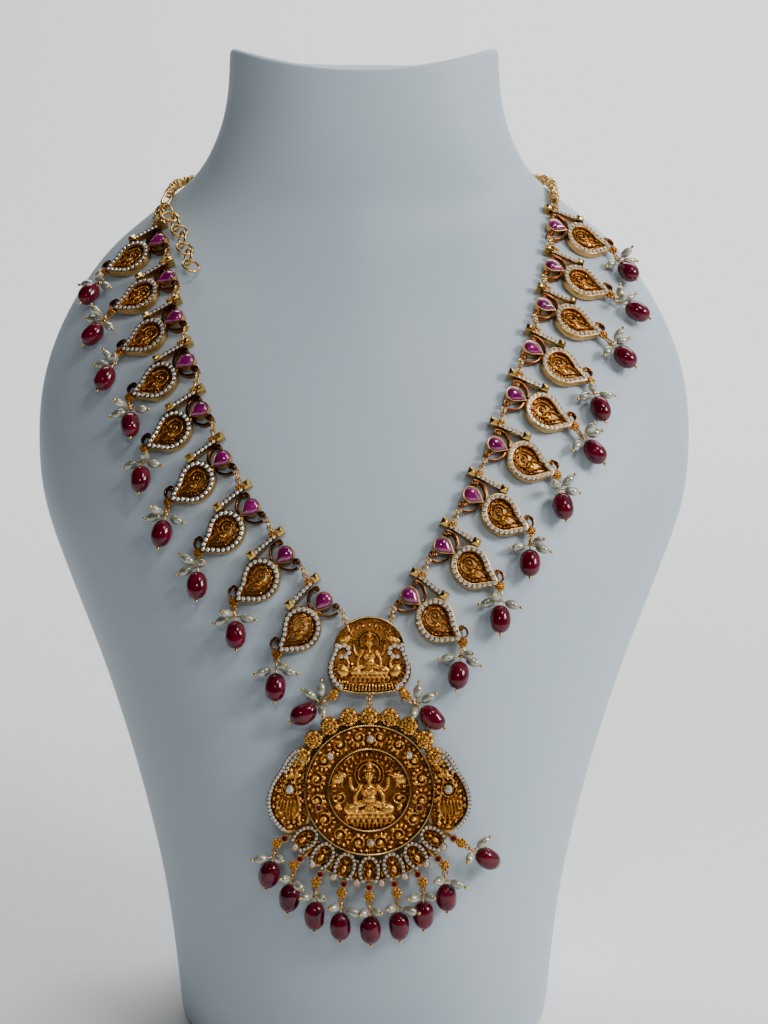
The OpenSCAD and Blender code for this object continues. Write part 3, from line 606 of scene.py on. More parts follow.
def gold(name, dark, mid, light, grain, rough, worn=False, metal=1.0):
    """Old gold plate: dark in its recesses, bright where it is rubbed, with a cast grain."""
    m, tree, bsdf = shader(name, Metallic=metal)
    hollow = node(tree, "AmbientOcclusion", samples=6, Distance=0.9 * MM)
    hollow.only_local = True
    shade = hollow.outputs["AO"]
    if worn:
        wear = node(tree, "Attribute", attribute_name="wear")
        both = node(tree, "Math", operation="MULTIPLY")
        tree.links.new(shade, both.inputs[0])
        tree.links.new(wear.outputs["Fac"], both.inputs[1])
        shade = both.outputs["Value"]
    tint = ramp(tree, shade, [(0.1, dark), (0.55, mid), (0.95, light)])
    patch = noise(tree, 700, 4)
    cloud = ramp(tree, patch, [(0.3, (0.72, 0.66, 0.6)), (0.7, (1.0, 1.0, 1.0))])
    mix = node(tree, "Mix", data_type="RGBA", blend_type="MULTIPLY")
    mix.inputs["Factor"].default_value = 0.8
    tree.links.new(tint.outputs["Color"], mix.inputs["A"])
    tree.links.new(cloud.outputs["Color"], mix.inputs["B"])
    tree.links.new(mix.outputs["Result"], bsdf.inputs["Base Color"])
    roughened(tree, bsdf, patch, *rough)
    bump(tree, bsdf, noise(tree, 3200, 3), grain, 0.12 * MM)
    return m


def stone(name, deep, bright, **values):
    """A polished stone or bead whose colour drifts between two tones."""
    m, tree, bsdf = shader(name, **values)
    drift = noise(tree, 260, 3)
    tinted(tree, bsdf, drift, [(0.32, deep), (0.68, bright)])
    roughened(tree, bsdf, drift, 0.05, 0.12)
    return m


def pearl_paint():
    m, tree, bsdf = shader("pearl_nacre", Metallic=0.35, Coat_Weight=1.0, Coat_Roughness=0.05,
                           IOR=1.7)
    drift = noise(tree, 420, 4)
    tinted(tree, bsdf, drift,
           [(0.3, (0.24, 0.25, 0.17)), (0.5, (0.36, 0.365, 0.27)), (0.7, (0.54, 0.53, 0.42))])
    roughened(tree, bsdf, drift, 0.1, 0.2)
    bump(tree, bsdf, drift, 0.06, 0.25 * MM)
    return m


def bust_paint():
    m, tree, bsdf = shader("bust_satin", IOR=1.45)
    tinted(tree, bsdf, noise(tree, 9, 3),
           [(0.35, (0.42, 0.505, 0.565)), (0.65, (0.45, 0.53, 0.59))])
    skin = noise(tree, 1500, 2)
    roughened(tree, bsdf, skin, 0.42, 0.56)
    bump(tree, bsdf, skin, 0.05, 0.2 * MM)
    return m


def plain(name, tone, rough):
    m, tree, bsdf = shader(name, Roughness=rough)
    tinted(tree, bsdf, noise(tree, 2, 2), [(0.3, tone), (0.7, tuple(c * 0.985 for c in tone))])
    return m


RELIEF_GOLD = gold("relief_gold", (0.36, 0.14, 0.02), (0.5, 0.21, 0.03), (0.88, 0.46, 0.085),
                   grain=0.2, rough=(0.18, 0.34), worn=True, metal=0.78)
LINK_GOLD = gold("link_relief_gold", (0.2, 0.062, 0.01), (0.38, 0.135, 0.018), (0.6, 0.27, 0.04),
                 grain=0.2, rough=(0.16, 0.3), worn=True, metal=0.85)
WALL_GOLD = gold("wall_gold", (0.12, 0.045, 0.015), (0.42, 0.21, 0.065), (0.72, 0.44, 0.16),
                 grain=0.12, rough=(0.24, 0.4))
SCROLL_GOLD = gold("scroll_gold", (0.036, 0.009, 0.004), (0.14, 0.044, 0.013),
                   (0.27, 0.095, 0.027), grain=0.1, rough=(0.14, 0.26))
OLIVE_GOLD = gold("olive_gold", (0.08, 0.04, 0.008), (0.34, 0.19, 0.035), (0.62, 0.39, 0.1),
                  grain=0.15, rough=(0.18, 0.32))
SETTING_GOLD = gold("setting_gold", (0.03, 0.014, 0.006), (0.14, 0.075, 0.028), (0.5, 0.32, 0.12),
                    grain=0.1, rough=(0.2, 0.34))
WIRE_GOLD = gold("wire_gold", (0.12, 0.05, 0.012), (0.46, 0.24, 0.055), (0.76, 0.48, 0.15),
                 grain=0.08, rough=(0.18, 0.3))
WHITE_STONE = stone("white_stone", (0.78, 0.76, 0.71), (1.0, 0.98, 0.93), IOR=2.4,
                    Metallic=0.55, Coat_Weight=1.0, Coat_Roughness=0.02)
CABOCHON = stone("cabochon_glass", (0.1, 0.0, 0.046), (0.26, 0.002, 0.13), IOR=1.6,
                 Coat_Weight=1.0, Coat_Roughness=0.03)
RUBY = stone("ruby_glass", (0.05, 0.0006, 0.006), (0.135, 0.0012, 0.014), IOR=1.5,
             Specular_IOR_Level=0.3, Coat_Weight=0.25, Coat_Roughness=0.05)
PEARL = pearl_paint()
BUST = bust_paint()
PLATE_PAINTS = [RELIEF_GOLD, WALL_GOLD, SCROLL_GOLD, OLIVE_GOLD, SETTING_GOLD, WIRE_GOLD,
                WHITE_STONE, RUBY]
LINK_PAINTS = [LINK_GOLD, *PLATE_PAINTS[1:]]
ON_RELIEF, ON_WALL, ON_SCROLL, ON_OLIVE, ON_SETTING, ON_WIRE, ON_WHITE, ON_RED = range(8)


# Small set forms

SMALL_BALL = ball(1.0, 7, 4)
MID_BALL = ball(1.0, 10, 6)
GEM = brilliant(0.58, 0.42, 0.7)


def fence(form, path, width, height, paint, bevel=0.18, closed=False):
    """A wall that stands on the ground along a flat path."""
    form.add(*swept(path, wall(width, height, bevel=bevel), closed), paint)


def mount(form, template, at, z, paint):
    """One copy of a template over a flat point."""
    form.stamp(template, [[*at, z]], paint)


def set_row(form, places, r, z, closed=True, prong=0.3):
    """A row of white stones in a dark channel, with small beads of metal between them."""
    side = sides_of(places, closed)
    channel = flowing(places, 4, closed)
    form.add(*swept(channel, wall(r * 2.25, z + 0.03, z - 0.6, 0.06), closed), ON_SETTING)
    form.stamp(GEM, at_height(places, z), ON_WHITE, False, r, turns=np.arange(len(places)) * 0.7)
    between = (places + np.roll(places, -1, 0)) / 2
    if not closed:
        between, side = between[:-1], side[:-1]
    for s in (-1, 1):
        at = between + side * s * r * 0.78
        form.stamp(SMALL_BALL, at_height(at, z + 0.06), ON_SETTING, True, r * prong)


def rosette(form, at, r, z, turn=0.0):
    """A granule flower: a middle, six petals, and seed beads between them."""
    rings = ((MID_BALL, 0.34, 0.66, 0.05, 0), (SMALL_BALL, 0.15, 0.74, 0.3, 30),
             (SMALL_BALL, 0.15, 0.34, 0.56, 30))
    for grain, size, out, up, off in rings:
        ring = at + polar(60 * np.arange(6) + turn + off, r * out)
        form.stamp(grain, at_height(ring, z + r * up), ON_RELIEF, True, r * size)
    form.stamp(MID_BALL, [[*at, z]], ON_RELIEF, True, r * 0.6)
    form.stamp(SMALL_BALL, [[*at, z + r * 0.62]], ON_RELIEF, True, r * 0.2)


def pyramid(form, at, w, top, turn):
    """A square stud with a pointed top."""
    ring = polar(45 + turn + 90 * np.arange(4))
    rows = [(w * 0.707, 0), (w * 0.707, top - w * 0.36), (w * 0.62, top - w * 0.3), (0.12, top)]
    points = np.concatenate([at_height(at + ring * r, z) for r, z in rows])
    k = np.arange(4)
    form.add(points, [bands(4, 4), k[None, ::-1], (12 + k)[None, :]], ON_OLIVE, False)


def curl(form, centre, r, height, start, turns):
    """A strip of metal rolled up on its edge."""
    fence(form, scroll(centre, r, r * 0.3, start, turns, 30), 0.42, height, ON_SCROLL, 0.14)
    mount(form, cap(r * 0.5, 0.5), centre, height - 0.55, ON_SCROLL)


def eye(form, centre, n):
    """A small ring soldered flat in the piece."""
    p, faces = torus(EYE_D, EYE_WIRE, 24, 8)
    form.add(centre + p @ turned_to(n, [0.3, 0.2, 0.9]), faces, ON_WALL)


# Link plates

def paisley(inset, steps=96):
    table = np.array(PAISLEY, float)
    a = np.linspace(-180, 180, steps + 1)[:-1]
    knots = np.concatenate([table[-3:-1] - [360, 0], table, table[1:3] + [360, 0]])
    r = smooth_between(knots, a) * PAISLEY_R - inset
    return PAISLEY_C + polar(a, r[:, None])


def smooth_between(table, at):
    """Cubic curve through rows of place and value."""
    x, y = table[:, 0], table[:, 1]
    slope = np.gradient(y, x)
    i = np.clip(np.searchsorted(x, at, side="right") - 1, 0, len(x) - 2)
    h = x[i + 1] - x[i]
    t = (at - x[i]) / h
    return ((2 * t ** 3 - 3 * t ** 2 + 1) * y[i] + (t ** 3 - 2 * t ** 2 + t) * h * slope[i]
            + (3 * t ** 2 - 2 * t ** 3) * y[i + 1] + (t ** 3 - t ** 2) * h * slope[i + 1])


def pear(grow, steps=56):
    """Outline of the pear stone, against the clock from its tip, with the tip a little rounded."""
    r, tip = PEAR_R + grow, PEAR_TIP + grow * 1.4
    lean = math.degrees(math.acos(r / tip))
    back = polar(np.linspace(lean, 360 - lean, 30), r)
    ring = np.concatenate([back, [[tip - 0.25, -0.16], [tip, 0], [tip - 0.25, 0.16]]])
    return spaced(ring, steps)


def peacock_relief():
    """A bird with a curled neck, a crest and a scrolled tail, in low relief."""
    c = PAISLEY_C
    r = Relief(FLOOR_T - 0.2)
    r.beads(paisley(RIM_W + 0.35, 48), 44, 0.36, 0.55, closed=True)
    r.ridge(paisley(RIM_W + 1.0, 48)[6:42], 0.3, 0.75)
    r.ridge(arc(c + [-1.2, 0.6], 2.9, 60, 245), 0.42, 1.15)
    r.ridge(scroll(c + [-1.3, 0.7], 1.9, 0.4, 200, -1.4), 0.36, 1.0)
    r.dome(c + [-1.3, 0.7], 0.5, 1.2)
    r.dome(c + [1.5, -0.9], 1.65, 1.2, 1.15, -20)
    r.ridge(arc(c + [1.5, -0.9], 1.75, 80, 290), 0.3, 1.1)
    r.dome(c + [1.7, -0.6], 0.5, 1.75)
    r.ridge(flowing([c + [2.9, -1.3], c + [4.0, -1.0], c + [5.2, 0.2], c + [6.2, 0.4]]), 0.42, 1.0)
    for a, far in ((62, 4.3), (40, 4.8), (20, 5.2), (84, 4.2)):
        foot, tip = c + [1.6, 1.1], c + polar(a, far) * [0.98, 0.92]
        r.ridge(flowing([foot, (foot + tip) / 2 + [0.25, 0.15], tip]), 0.26, 0.95)
        r.dome(tip, 0.42, 1.15)
    for a in range(200, 345, 18):
        out, side = polar(a), polar(a + 90)
        r.ridge(flowing([c + out * 2.6, c + out * 3.5 + side * 0.35, c + out * 4.6]), 0.25, 0.9)
        r.dome(c + out * 4.5 + side * 0.1, 0.36, 1.05)
    r.dome(c + [-3.3, 2.9], 0.75, 1.0)
    r.dome(c + [-4.3, 1.0], 0.6, 0.95)
    r.dome(c + [-4.3, -1.0], 0.55, 0.9)
    return r


def link_form():
    """One link in its own frame: x out from the ruby's middle, y up the chain, z off the bust."""
    form = Form()
    form.add(*slab(paisley(0.12), FLOOR_T), ON_WALL)
    fence(form, paisley(RIM_W / 2), RIM_W, PLATE_T, ON_WALL, closed=True)
    cast(form, paisley(RIM_W - 0.1), PAISLEY_C, 34, peacock_relief(), FLOOR_T * 0.5)
    set_row(form, spaced(paisley(RIM_W / 2, 240), 24), LINK_STONE_R, PLATE_T + 0.06, prong=0.34)
    fence(form, pear(BEZEL_WALL * 0.8), BEZEL_WALL * 0.66, BEZEL_H - 0.4, ON_WALL, 0.13, True)
    form.add(*slab(pear(0.15), STONE_Z - 0.1), ON_WALL)
    fence(form, arc([0.3, 0.9], 4.5, 8, 108, 30), 0.95, 2.3, ON_SCROLL, 0.3)
    fence(form, arc([-0.3, -1.7], 4.5, -84, 90, 26), 0.85, 2.3, ON_SCROLL, 0.28)
    curl(form, (-1.2, 4.3), 1.25, 2.2, -40, 1.3)
    curl(form, (-0.9, -4.55), 1.3, 2.2, 20, 1.3)
    mount(form, cap(1.2, 1.0), (5.2, -0.6), PLATE_T - 1.3, ON_RELIEF)
    start = np.array([-3.8, 7.0])
    bar = np.array([start, start + polar(3.5, 12.5)])
    fence(form, spaced(bar, 12, False), 1.6, PLATE_T - 0.35, ON_WALL, 0.2)
    gems = bar[0] + (bar[1] - bar[0]) * np.linspace(0.22, 0.86, 6)[:, None]
    set_row(form, gems, LINK_STONE_R, PLATE_T - 0.25, closed=False, prong=0.34)
    pyramid(form, bar[0] + [0, 0.1], 2.7, PLATE_T + 1.1, 12)
    pyramid(form, bar[1] + [0, 0.1], 2.7, PLATE_T + 1.2, 8)
    for i in range(4):
        at = TOP_FLORET + polar(45 + 90 * i, 0.8)
        mount(form, ball(0.72, 12, 8), at, PLATE_T - 0.5, ON_RELIEF)
    post = lathe([(0, 0), (0.9, 0), (0.9, PLATE_T - 0.7), (0, PLATE_T - 0.3)], 14)
    mount(form, post, TOP_FLORET, 0, ON_WALL)
    mount(form, ball(0.45, 10, 6), TOP_FLORET, PLATE_T + 0.1, ON_RELIEF)
    tip = PAISLEY_C + PAISLEY_R * np.array([1.36, 0.28]) + [-0.6, 1.0]
    fence(form, arc(tip, 1.9, -60, 170, 22), 0.62, 2.1, ON_SCROLL, 0.2)
    curl(form, tip + [-1.05, 0.95], 1.0, 2.05, 60, 1.2)
    rosette(form, ROSETTE_AT, ROSETTE_R, PLATE_T / 2 + 0.15)
    return form


def links(frames):
    template = link_form()
    local_low = np.array([*LOWER_EYE, EYE_Z])
    local_top = np.array([*TOP_FLORET, EYE_Z])
    for name, side in SIDES:
        pins = pins_of(f"drop_pins_{name}")
        for k in range(1, LINKS + 1):
            f = frames[name][k]
            put = place_in(f)
            form = Form()
            form.join(template, put, flip=side < 0)
            low, base, n = put(local_low), put(local_top), f[3]
            if k < LINKS:
                above = place_in(frames[name][k + 1])(local_low)
                top = above + unit(base - above) * RING_D
            else:
                top = put(local_top + [0, 1.3 + EYE_D / 2, 0])
            eye(form, low, n)
            eye(form, top, n)
            form.add(*rod(top + unit(base - top) * EYE_D / 2, base, 0.5, 10), ON_WALL)
            eye(form, hung_from(pins, f, ROSETTE_AT), n)
            dress(f"motif_link_{name}_{k}", form, LINK_PAINTS)


def cabochons(frames):
    outline, middle = pear(BEZEL_WALL * 0.42), np.array([0.35, 0])
    spokes = outline - middle
    turn = np.arctan2(spokes[:, 1], spokes[:, 0])
    order = np.argsort(turn)
    edge = np.linalg.norm(spokes, axis=1)

    def crown(p):
        q = p - middle
        a = np.arctan2(q[:, 1], q[:, 0])
        reach = np.interp(a, turn[order], edge[order], period=2 * math.pi)
        s = np.clip(np.linalg.norm(q, axis=1) / reach, 0, 1)
        return STONE_Z + 0.9 + (PEAR_H - 0.9) * np.sqrt(np.clip(1 - s ** 2.2, 0, 1))
    template = Form()
    template.add(*field(outline, middle, 14, crown, STONE_Z))
    for name, side in SIDES:
        for k in range(1, LINKS + 1):
            form = Form()
            form.join(template, place_in(frames[name][k]), flip=side < 0)
            dress(f"ruby_cabochon_{name}_{k}", form, [CABOCHON], sharp=50)


# Pendants

def deity(r, at, s):
    """A seated goddess on a lotus, with four arms, a tall crown and a beaded halo."""
    f = Figure(r, at, s)
    for i in range(9):
        f.dome(-6.4 + 1.6 * i, -7.3, 0.72, 0.75, 1.7, 90)
    for i in range(8):
        f.dome(-5.6 + 1.6 * i, -6.3, 0.7, 0.95, 1.5, 90)
    f.ridge([(-6.2, -8.4), (6.2, -8.4)], 0.35, 0.6)
    f.pair(4.9, -4.5, 1.75, 1.5, 1.3)
    f.limbs([(5.6, -4.6), (3.2, -3.4), (0.9, -2.9)], 1.15, 1.2)
    f.limbs([(5.4, -5.1), (2.6, -5.5), (-1.6, -5.0)], 0.85, 1.45)
    f.pair(1.9, -5.2, 0.7, 1.75, 1.3)
    for i in range(-3, 4):
        f.ridge([(0.16 * i, -3.2), (0.55 * i, -5.4)], 0.2, 0.5, 1.05)
    f.dome(0, -1.7, 1.75, 1.5, 1.15)
    f.beads([(-1.9, -2.7), (-1, -2.95), (0, -3.05), (1, -2.95), (1.9, -2.7)], 9, 0.28, 1.9)
    f.dome(0, 0.5, 2.2, 1.75, 1.12)
    f.pair(0.95, 0.55, 0.95, 2.15)
    f.beads([(-1.5, 2.0), (-0.8, 1.2), (0, 0.9), (0.8, 1.2), (1.5, 2.0)], 11, 0.24, 2.2)
    f.beads([(-1.0, 0), (-0.5, -0.7), (0, -0.95), (0.5, -0.7), (1.0, 0)], 9, 0.2, 2.0)
    f.pair(2.35, 1.7, 0.95, 1.7)
    f.limbs([(2.5, 1.6), (4.1, 0.7), (5.0, 2.0), (5.2, 3.6)], 0.62, 1.25)
    f.limbs([(2.4, 1.3), (3.7, -0.6), (3.9, -2.4)], 0.66, 1.4)
    f.pair(3.9, -2.8, 0.62, 1.7)
    f.pair(4.1, 0.6, 0.5, 1.75)
    f.pair(5.2, 4.0, 0.55, 1.6)
    for turn in (50, 90, 130):
        f.pair(*([5.3, 5.0] + polar(turn, 0.9)), 0.42, 1.35)
    f.pair(5.3, 5.0, 0.4, 1.6)
    f.ridge([(0, 2.0), (0, 3.2)], 0.72, 1.45)
    f.dome(0, 4.65, 1.5, 1.9, 1.25, 90)
    f.pair(0.56, 4.78, 0.3, 0.34, foot=1.62)
    f.pair(0.56, 4.76, 0.14, 0.26, foot=1.82)
    f.limbs([(0.24, 5.24), (0.6, 5.38), (0.98, 5.18)], 0.12, 0.2, 1.66)
    f.ridge([(0, 5.0), (0, 4.3)], 0.17, 0.3, 1.82)
    f.pair(0.14, 4.24, 0.17, 0.25, foot=1.8)
    f.ridge([(-0.42, 3.82), (0, 3.75), (0.42, 3.82)], 0.15, 0.22, 1.66)
    f.dome(0, 3.35, 0.42, 0.3, foot=1.5)
    f.pair(1.62, 4.1, 0.42, 1.7)
    f.pair(1.62, 3.3, 0.3, 1.5)
    f.ridge([(-1.45, 6.0), (0, 6.25), (1.45, 6.0)], 0.4, 2.0)
    for y, w, h in ((6.8, 1.3, 1.9), (7.6, 1.0, 1.85), (8.3, 0.72, 1.75), (8.9, 0.42, 1.65)):
        f.dome(0, y, w, h, 0.7, 90)
    f.beads([(-1.2, 6.5), (0, 6.75), (1.2, 6.5)], 6, 0.22, 2.3)
    f.ridge(arc((0, 5.0), 3.0, -30, 240), 0.36, 1.35)
    f.beads(arc((0, 5.0), 3.9, -40, 260, 60), 30, 0.36, 1.35)


def elephant(r, at, s, m):
    """An elephant, its trunk raised toward the middle. m is -1 on the left, 1 on the right."""
    f = Figure(r, at, s, m)
    f.dome(1.9, -0.5, 2.1, 1.5, 1.2)
    f.dome(-0.4, 0.9, 1.35, 1.75)
    f.dome(0.7, 0.8, 0.95, 1.9, 1.25, 90)
    f.curve([(-1.2, 0.6), (-2.1, 1.2), (-2.2, 2.5), (-1.4, 3.2), (-1.9, 3.9)], 0.46, 1.3)
    f.curve([(-1.1, 0.0), (-1.9, -0.1), (-2.4, 0.5)], 0.22, 1.3)
    for x in (0.3, 1.4, 2.9, 3.7):
        f.ridge([(x, -1.6), (x, -3.6)], 0.5, 1.1)
    f.beads(arc((1.9, -0.5), 1.9, 60, 60), 5, 0.25, 1.6)
    f.dome(-0.75, 1.15, 0.2, 1.95)


def peafowl(r, at, s, m):
    """A peacock that faces the middle, with a swept, feathered tail."""
    f = Figure(r, at, s, m)
    f.dome(0.4, -0.4, 2.0, 1.7, 1.25, 60 * m)
    f.curve([(-0.9, 0.4), (-1.5, 1.8), (-0.9, 3.2), (-0.2, 3.8)], 0.62, 1.5)
    f.dome(-0.1, 3.9, 0.72, 1.8)
    f.ridge([(-0.6, 4.0), (-1.4, 3.7)], 0.24, 1.5)
    for i in range(7):
        far = polar(-75 + 28 * i, 3.0)
        tip = far + [0.7, -0.7]
        f.curve([(0.8, -0.6), far * 0.6 + [0.6, -0.4], tip], 0.27, 1.15)
        f.dome(*tip, 0.45, 1.35)
    for x in (-0.3, 0.7):
        f.ridge([(x, -2.2), (x - 0.2, -3.4)], 0.25, 1.0)


def arch(grow, steps=260):
    """Outline of the small pendant, against the clock from its right shoulder."""
    size = np.array([SMALL_W, SMALL_H]) / 2 + grow
    top = polar(np.arange(0, 181, 18)) * [0.86, 0.88] + [0, 0.12]
    left = [(-0.97, -0.18), (-1, -0.42), (-0.93, -0.66), (-0.74, -0.88), (-0.4, -0.97)]
    right = [(-x, y) for x, y in left[::-1]]
    ring = np.concatenate([top, left, [(0, -1)], right])
    return spaced(flowing(ring * size, 8, True), steps)


def small_relief():
    r = Relief(1.5)
    f = Figure(r)
    deity(r, (0, -0.6), 0.98)
    for m in (-1, 1):
        elephant(r, (m * 7.4, 4.9), 0.8, m)
        peafowl(r, (m * 8.3, -4.6), 1.0, m)
        r.beads(flowing([(m * 11.6, -8.8), (m * 9.2, -8.7), (m * 7.2, -8.9)]), 6, 0.5, 1.2)
        r.beads(flowing([(m * 12.2, -2.5), (m * 11.9, -5.0), (m * 11.2, -7.4)]), 5, 0.55, 1.2)
    f.limbs([(6.1, -1.6), (5.5, -4.0), (6.0, -6.2)], 0.3, 1.3)
    for x in np.linspace(-8.8, 8.8, 17):
        f.curve([(x, -11.8 + 0.012 * x * x), (x * 1.01, -10.9), (x * 0.98, -10.0)], 0.46, 0.9, 0.9)
    f.curve([(-9.6, -9.2), (0, -9.7), (9.6, -9.2)], 0.3, 1.3)
    f.curve([(-9.0, -11.5), (-4.6, -12.35), (0, -12.6), (4.6, -12.35), (9.0, -11.5)], 0.35, 1.4)
    inner = np.array([SMALL_W, SMALL_H]) / 2 - 1.6
    for a in range(20, 161, 7):
        r.dome((polar(a) * [0.86, 0.88] + [0, 0.11]) * inner, 0.42, 0.9)
    for a in range(10, 171, 16):
        r.dome(polar(a) * [7.4, 6.4] + [0, 3.6], 0.5, 0.9, 1.6, a)
    return r


def small_form():
    form = Form()
    form.add(*slab(arch(-0.05), 1.2), ON_WALL)
    cast(form, arch(-0.75), np.zeros(2), 56, small_relief())
    fence(form, arch(-0.4), 0.5, SMALL_T + 0.1, ON_WIRE, 0.2, True)
    ring = arch(-1.15, 400)
    post = lathe([(0, 0), (0.8, 0), (0.8, 1.3), (0, 1.3)], 12)
    for m in (-1, 1):
        near = ring[(ring[:, 0] * m > 9.2) & (ring[:, 1] < 3.4)]
        near = near[np.argsort(-near[:, 1])]
        fence(form, spaced(near, 40, False), 1.3, SMALL_T, ON_WALL, 0.2)
        set_row(form, spaced(near, 11, False), 0.68, SMALL_T + 0.05, closed=False)
        for turn in (52, 100, 148, 196, 244, 292):
            at = ([8.6, 1.3] + polar(turn, 1.9)) * [m, 1]
            mount(form, post, at, 1.6, ON_WALL)
            form.stamp(GEM, [[*at, SMALL_T]], ON_WHITE, False, 0.64)
        mount(form, cap(1.5, 2.2, 18, 6), (m * 11.2, -12), 0.2, ON_RELIEF)
        rosette(form, SMALL_KNOB * [m, 1], ROSETTE_R, SMALL_T / 2)
    return form


def panel(inset, steps=140):
    rows = np.array([[20, 9], [23.5, 13.4], [27, 10.8], [29.5, 6.5], [32.2, 2.2], [33.6, -2.6],
                     [33.2, -7.2], [30.6, -11.6], [27, -14.2], [22.5, -13.2], [19.5, -9]])
    ring = spaced(flowing(rows[::-1], 8, True), steps)
    return ring + sides_of(ring) * inset


def panel_form():
    form = Form()
    middle = np.array([26.3, -1.5])
    r = Relief(1.6)
    r.dome((27.0, -5.2), 4.4, 1.0, 1.15, 80)
    r.ridge(scroll((25.9, 4.9), 2.3, 0.5, 200, -1.3, 36), 0.5, 1.5)
    r.dome((25.9, 4.9), 0.95, 1.7)
    r.ridge(flowing([(24.6, -9.4), (23.0, -6.0), (23.6, -2.0), (24.4, 3.0), (24.2, 7.0)]), 0.5, 1.4)
    for i in range(6):
        x = 25.0 + 1.1 * i
        r.ridge(flowing([(x, -9.6 + 0.5 * i), (x + 0.2, -7.0), (x - 0.4, -4.0)]), 0.3, 0.9, 0.7)
        r.dome((x - 0.4, -3.7), 0.45, 0.9, foot=0.9)
    for i in range(7):
        r.dome([27.0, -4.6] + polar(-70 + 30 * i) * [4.7, 5.6], 0.75, 1.4)
    r.ridge(arc((26.2, 0.2), 2.4, 0, 360), 0.4, 1.7)
    r.beads(arc((26.2, 0.2), 3.3, 0, 360, 60), 16, 0.36, 1.6)
    for x, y, w in ((24.0, 9.4, 1.0), (25.6, 8.2, 0.8), (23.0, -11.0, 1.0), (26.0, -12.0, 0.9),
                    (22.0, 4.0, 0.8), (22.0, 0.0, 0.7), (21.9, -3.6, 0.8), (28.6, 2.6, 0.7)):
        r.dome((x, y), w, w * 1.3)
    r.beads(panel(2.1), 48, 0.5, 1.15, closed=True)
    r.beads(panel(3.5), 26, 0.8, 1.5, closed=True)
    form.add(*slab(panel(0.05), 1.3), ON_WALL)
    cast(form, panel(0.9), middle, 26, r)
    edge = panel(0.65, 400)
    outer = edge[(edge[:, 0] > 23.3) & (edge[:, 1] > -12.8)]
    turn = np.unwrap(np.arctan2(outer[:, 1] - middle[1], outer[:, 0] - middle[0]))
    outer = outer[np.argsort(turn)]
    fence(form, spaced(outer, 60, False), 1.15, 3.0, ON_WALL, 0.2)
    set_row(form, spaced(outer, 25, False), 0.6, 3.05, closed=False)
    fence(form, flowing([(20.8, 9.0), (22.4, 11.0), (23.3, 12.4)]), 1.0, 2.9, ON_WALL)
    second = flowing([(22.2, 9.4), (24.0, 10.9), (25.9, 8.9), (27.6, 6.0)])
    fence(form, second, 1.0, 2.95, ON_WALL, 0.2)
    set_row(form, spaced(second, 7, False), 0.56, 3.0, closed=False)
    round_gem(form, (26.2, 0.2), 1.15, 3.3, ON_WHITE)
    return form


def round_gem(form, at, r, z, paint):
    """A larger stone in a beaded cup."""
    cup = [(0, 0), (r + 0.35, 0), (r + 0.35, z - 0.1), (r * 0.95, z + 0.05), (0, z - 0.1)]
    mount(form, lathe(cup, 18), at, 0, ON_WALL)
    form.stamp(GEM, [[*at, z + 0.05]], paint, False, r)
    ring = at + polar(30 * np.arange(12), r + 0.28)
    form.stamp(SMALL_BALL, at_height(ring, z), ON_WALL, True, 0.22)


def petal_form(stones, rings):
    form = Form()
    edge = flowing([(4.4, 0), (2.6, 2.9), (-0.4, 3.5), (-3.4, 2.2), (-4.4, 0), (-3.4, -2.2),
                    (-0.4, -3.5), (2.6, -2.9)], 6, True)
    form.add(*slab(edge, 1.1), ON_WALL)
    r = Relief(1.4)
    r.dome((1.3, 0), 0.95, 1.4, 1.7, 0)
    r.dome((-1.1, 0), 0.75, 1.5)
    for m in (-1, 1):
        leaf = [(-1.8, m * 0.7), (-0.2, m * 1.6), (1.8, m * 1.9), (3.3, m * 0.7)]
        r.ridge(flowing(leaf), 0.3, 1.2)
        r.dome((-2.4, m * 0.8), 0.5, 1.1)
        r.dome((0.1, m * 1.0), 0.4, 0.9)
    cast(form, edge * 0.86, np.array([0.2, 0]), rings, r)
    row = flowing([(3.9, 2.1), (1.6, 3.0), (-1.2, 2.9), (-3.3, 1.6), (-3.9, 0), (-3.3, -1.6),
                   (-1.2, -2.9), (1.6, -3.0), (3.9, -2.1)])
    fence(form, row[::-1], 1.1, 2.85, ON_WALL, 0.2)
    set_row(form, spaced(row, stones, False), 0.5, 2.92, closed=False)
    return form


def turned(degrees, out, size=(1, 1, 1)):
    """Sizes a form, moves it out along x and turns it about the medallion's middle."""
    spin = about_z(math.radians(degrees))
    return lambda p: (p * size + [out, 0, 0]) @ spin


def band_relief():
    """Scrolls, buds and leaves between the two rings of the main pendant."""
    r, middle = Relief(1.7), (MAIN_R + INNER_R) / 2
    for i in range(16):
        a, way = 22.5 * i + 11.25, (-1) ** i
        c = polar(a, middle)
        r.ridge(scroll(c, 2.4, 0.5, a + 90 * way, 1.3 * way, 40), 0.46, 1.25)
        r.dome(c, 0.95, 1.6)
        for off, far in ((8.5, 2.2), (11.5, 0.9), (11, -0.7), (8.5, -2.0), (3.5, 2.5), (-3, 2.6),
                         (3.5, -2.6), (-3.5, -2.5)):
            lean = 45 if far > 0 else -45
            r.dome(polar(a + off, middle + far), 0.68, 1.15, 1.35, a + off + lean)
    r.beads(arc((0, 0), MAIN_R - 1.3, 0, 360, 120), 96, 0.36, 0.75)
    r.beads(arc((0, 0), INNER_R + 0.8, 0, 360, 120), 72, 0.34, 0.75)
    return r


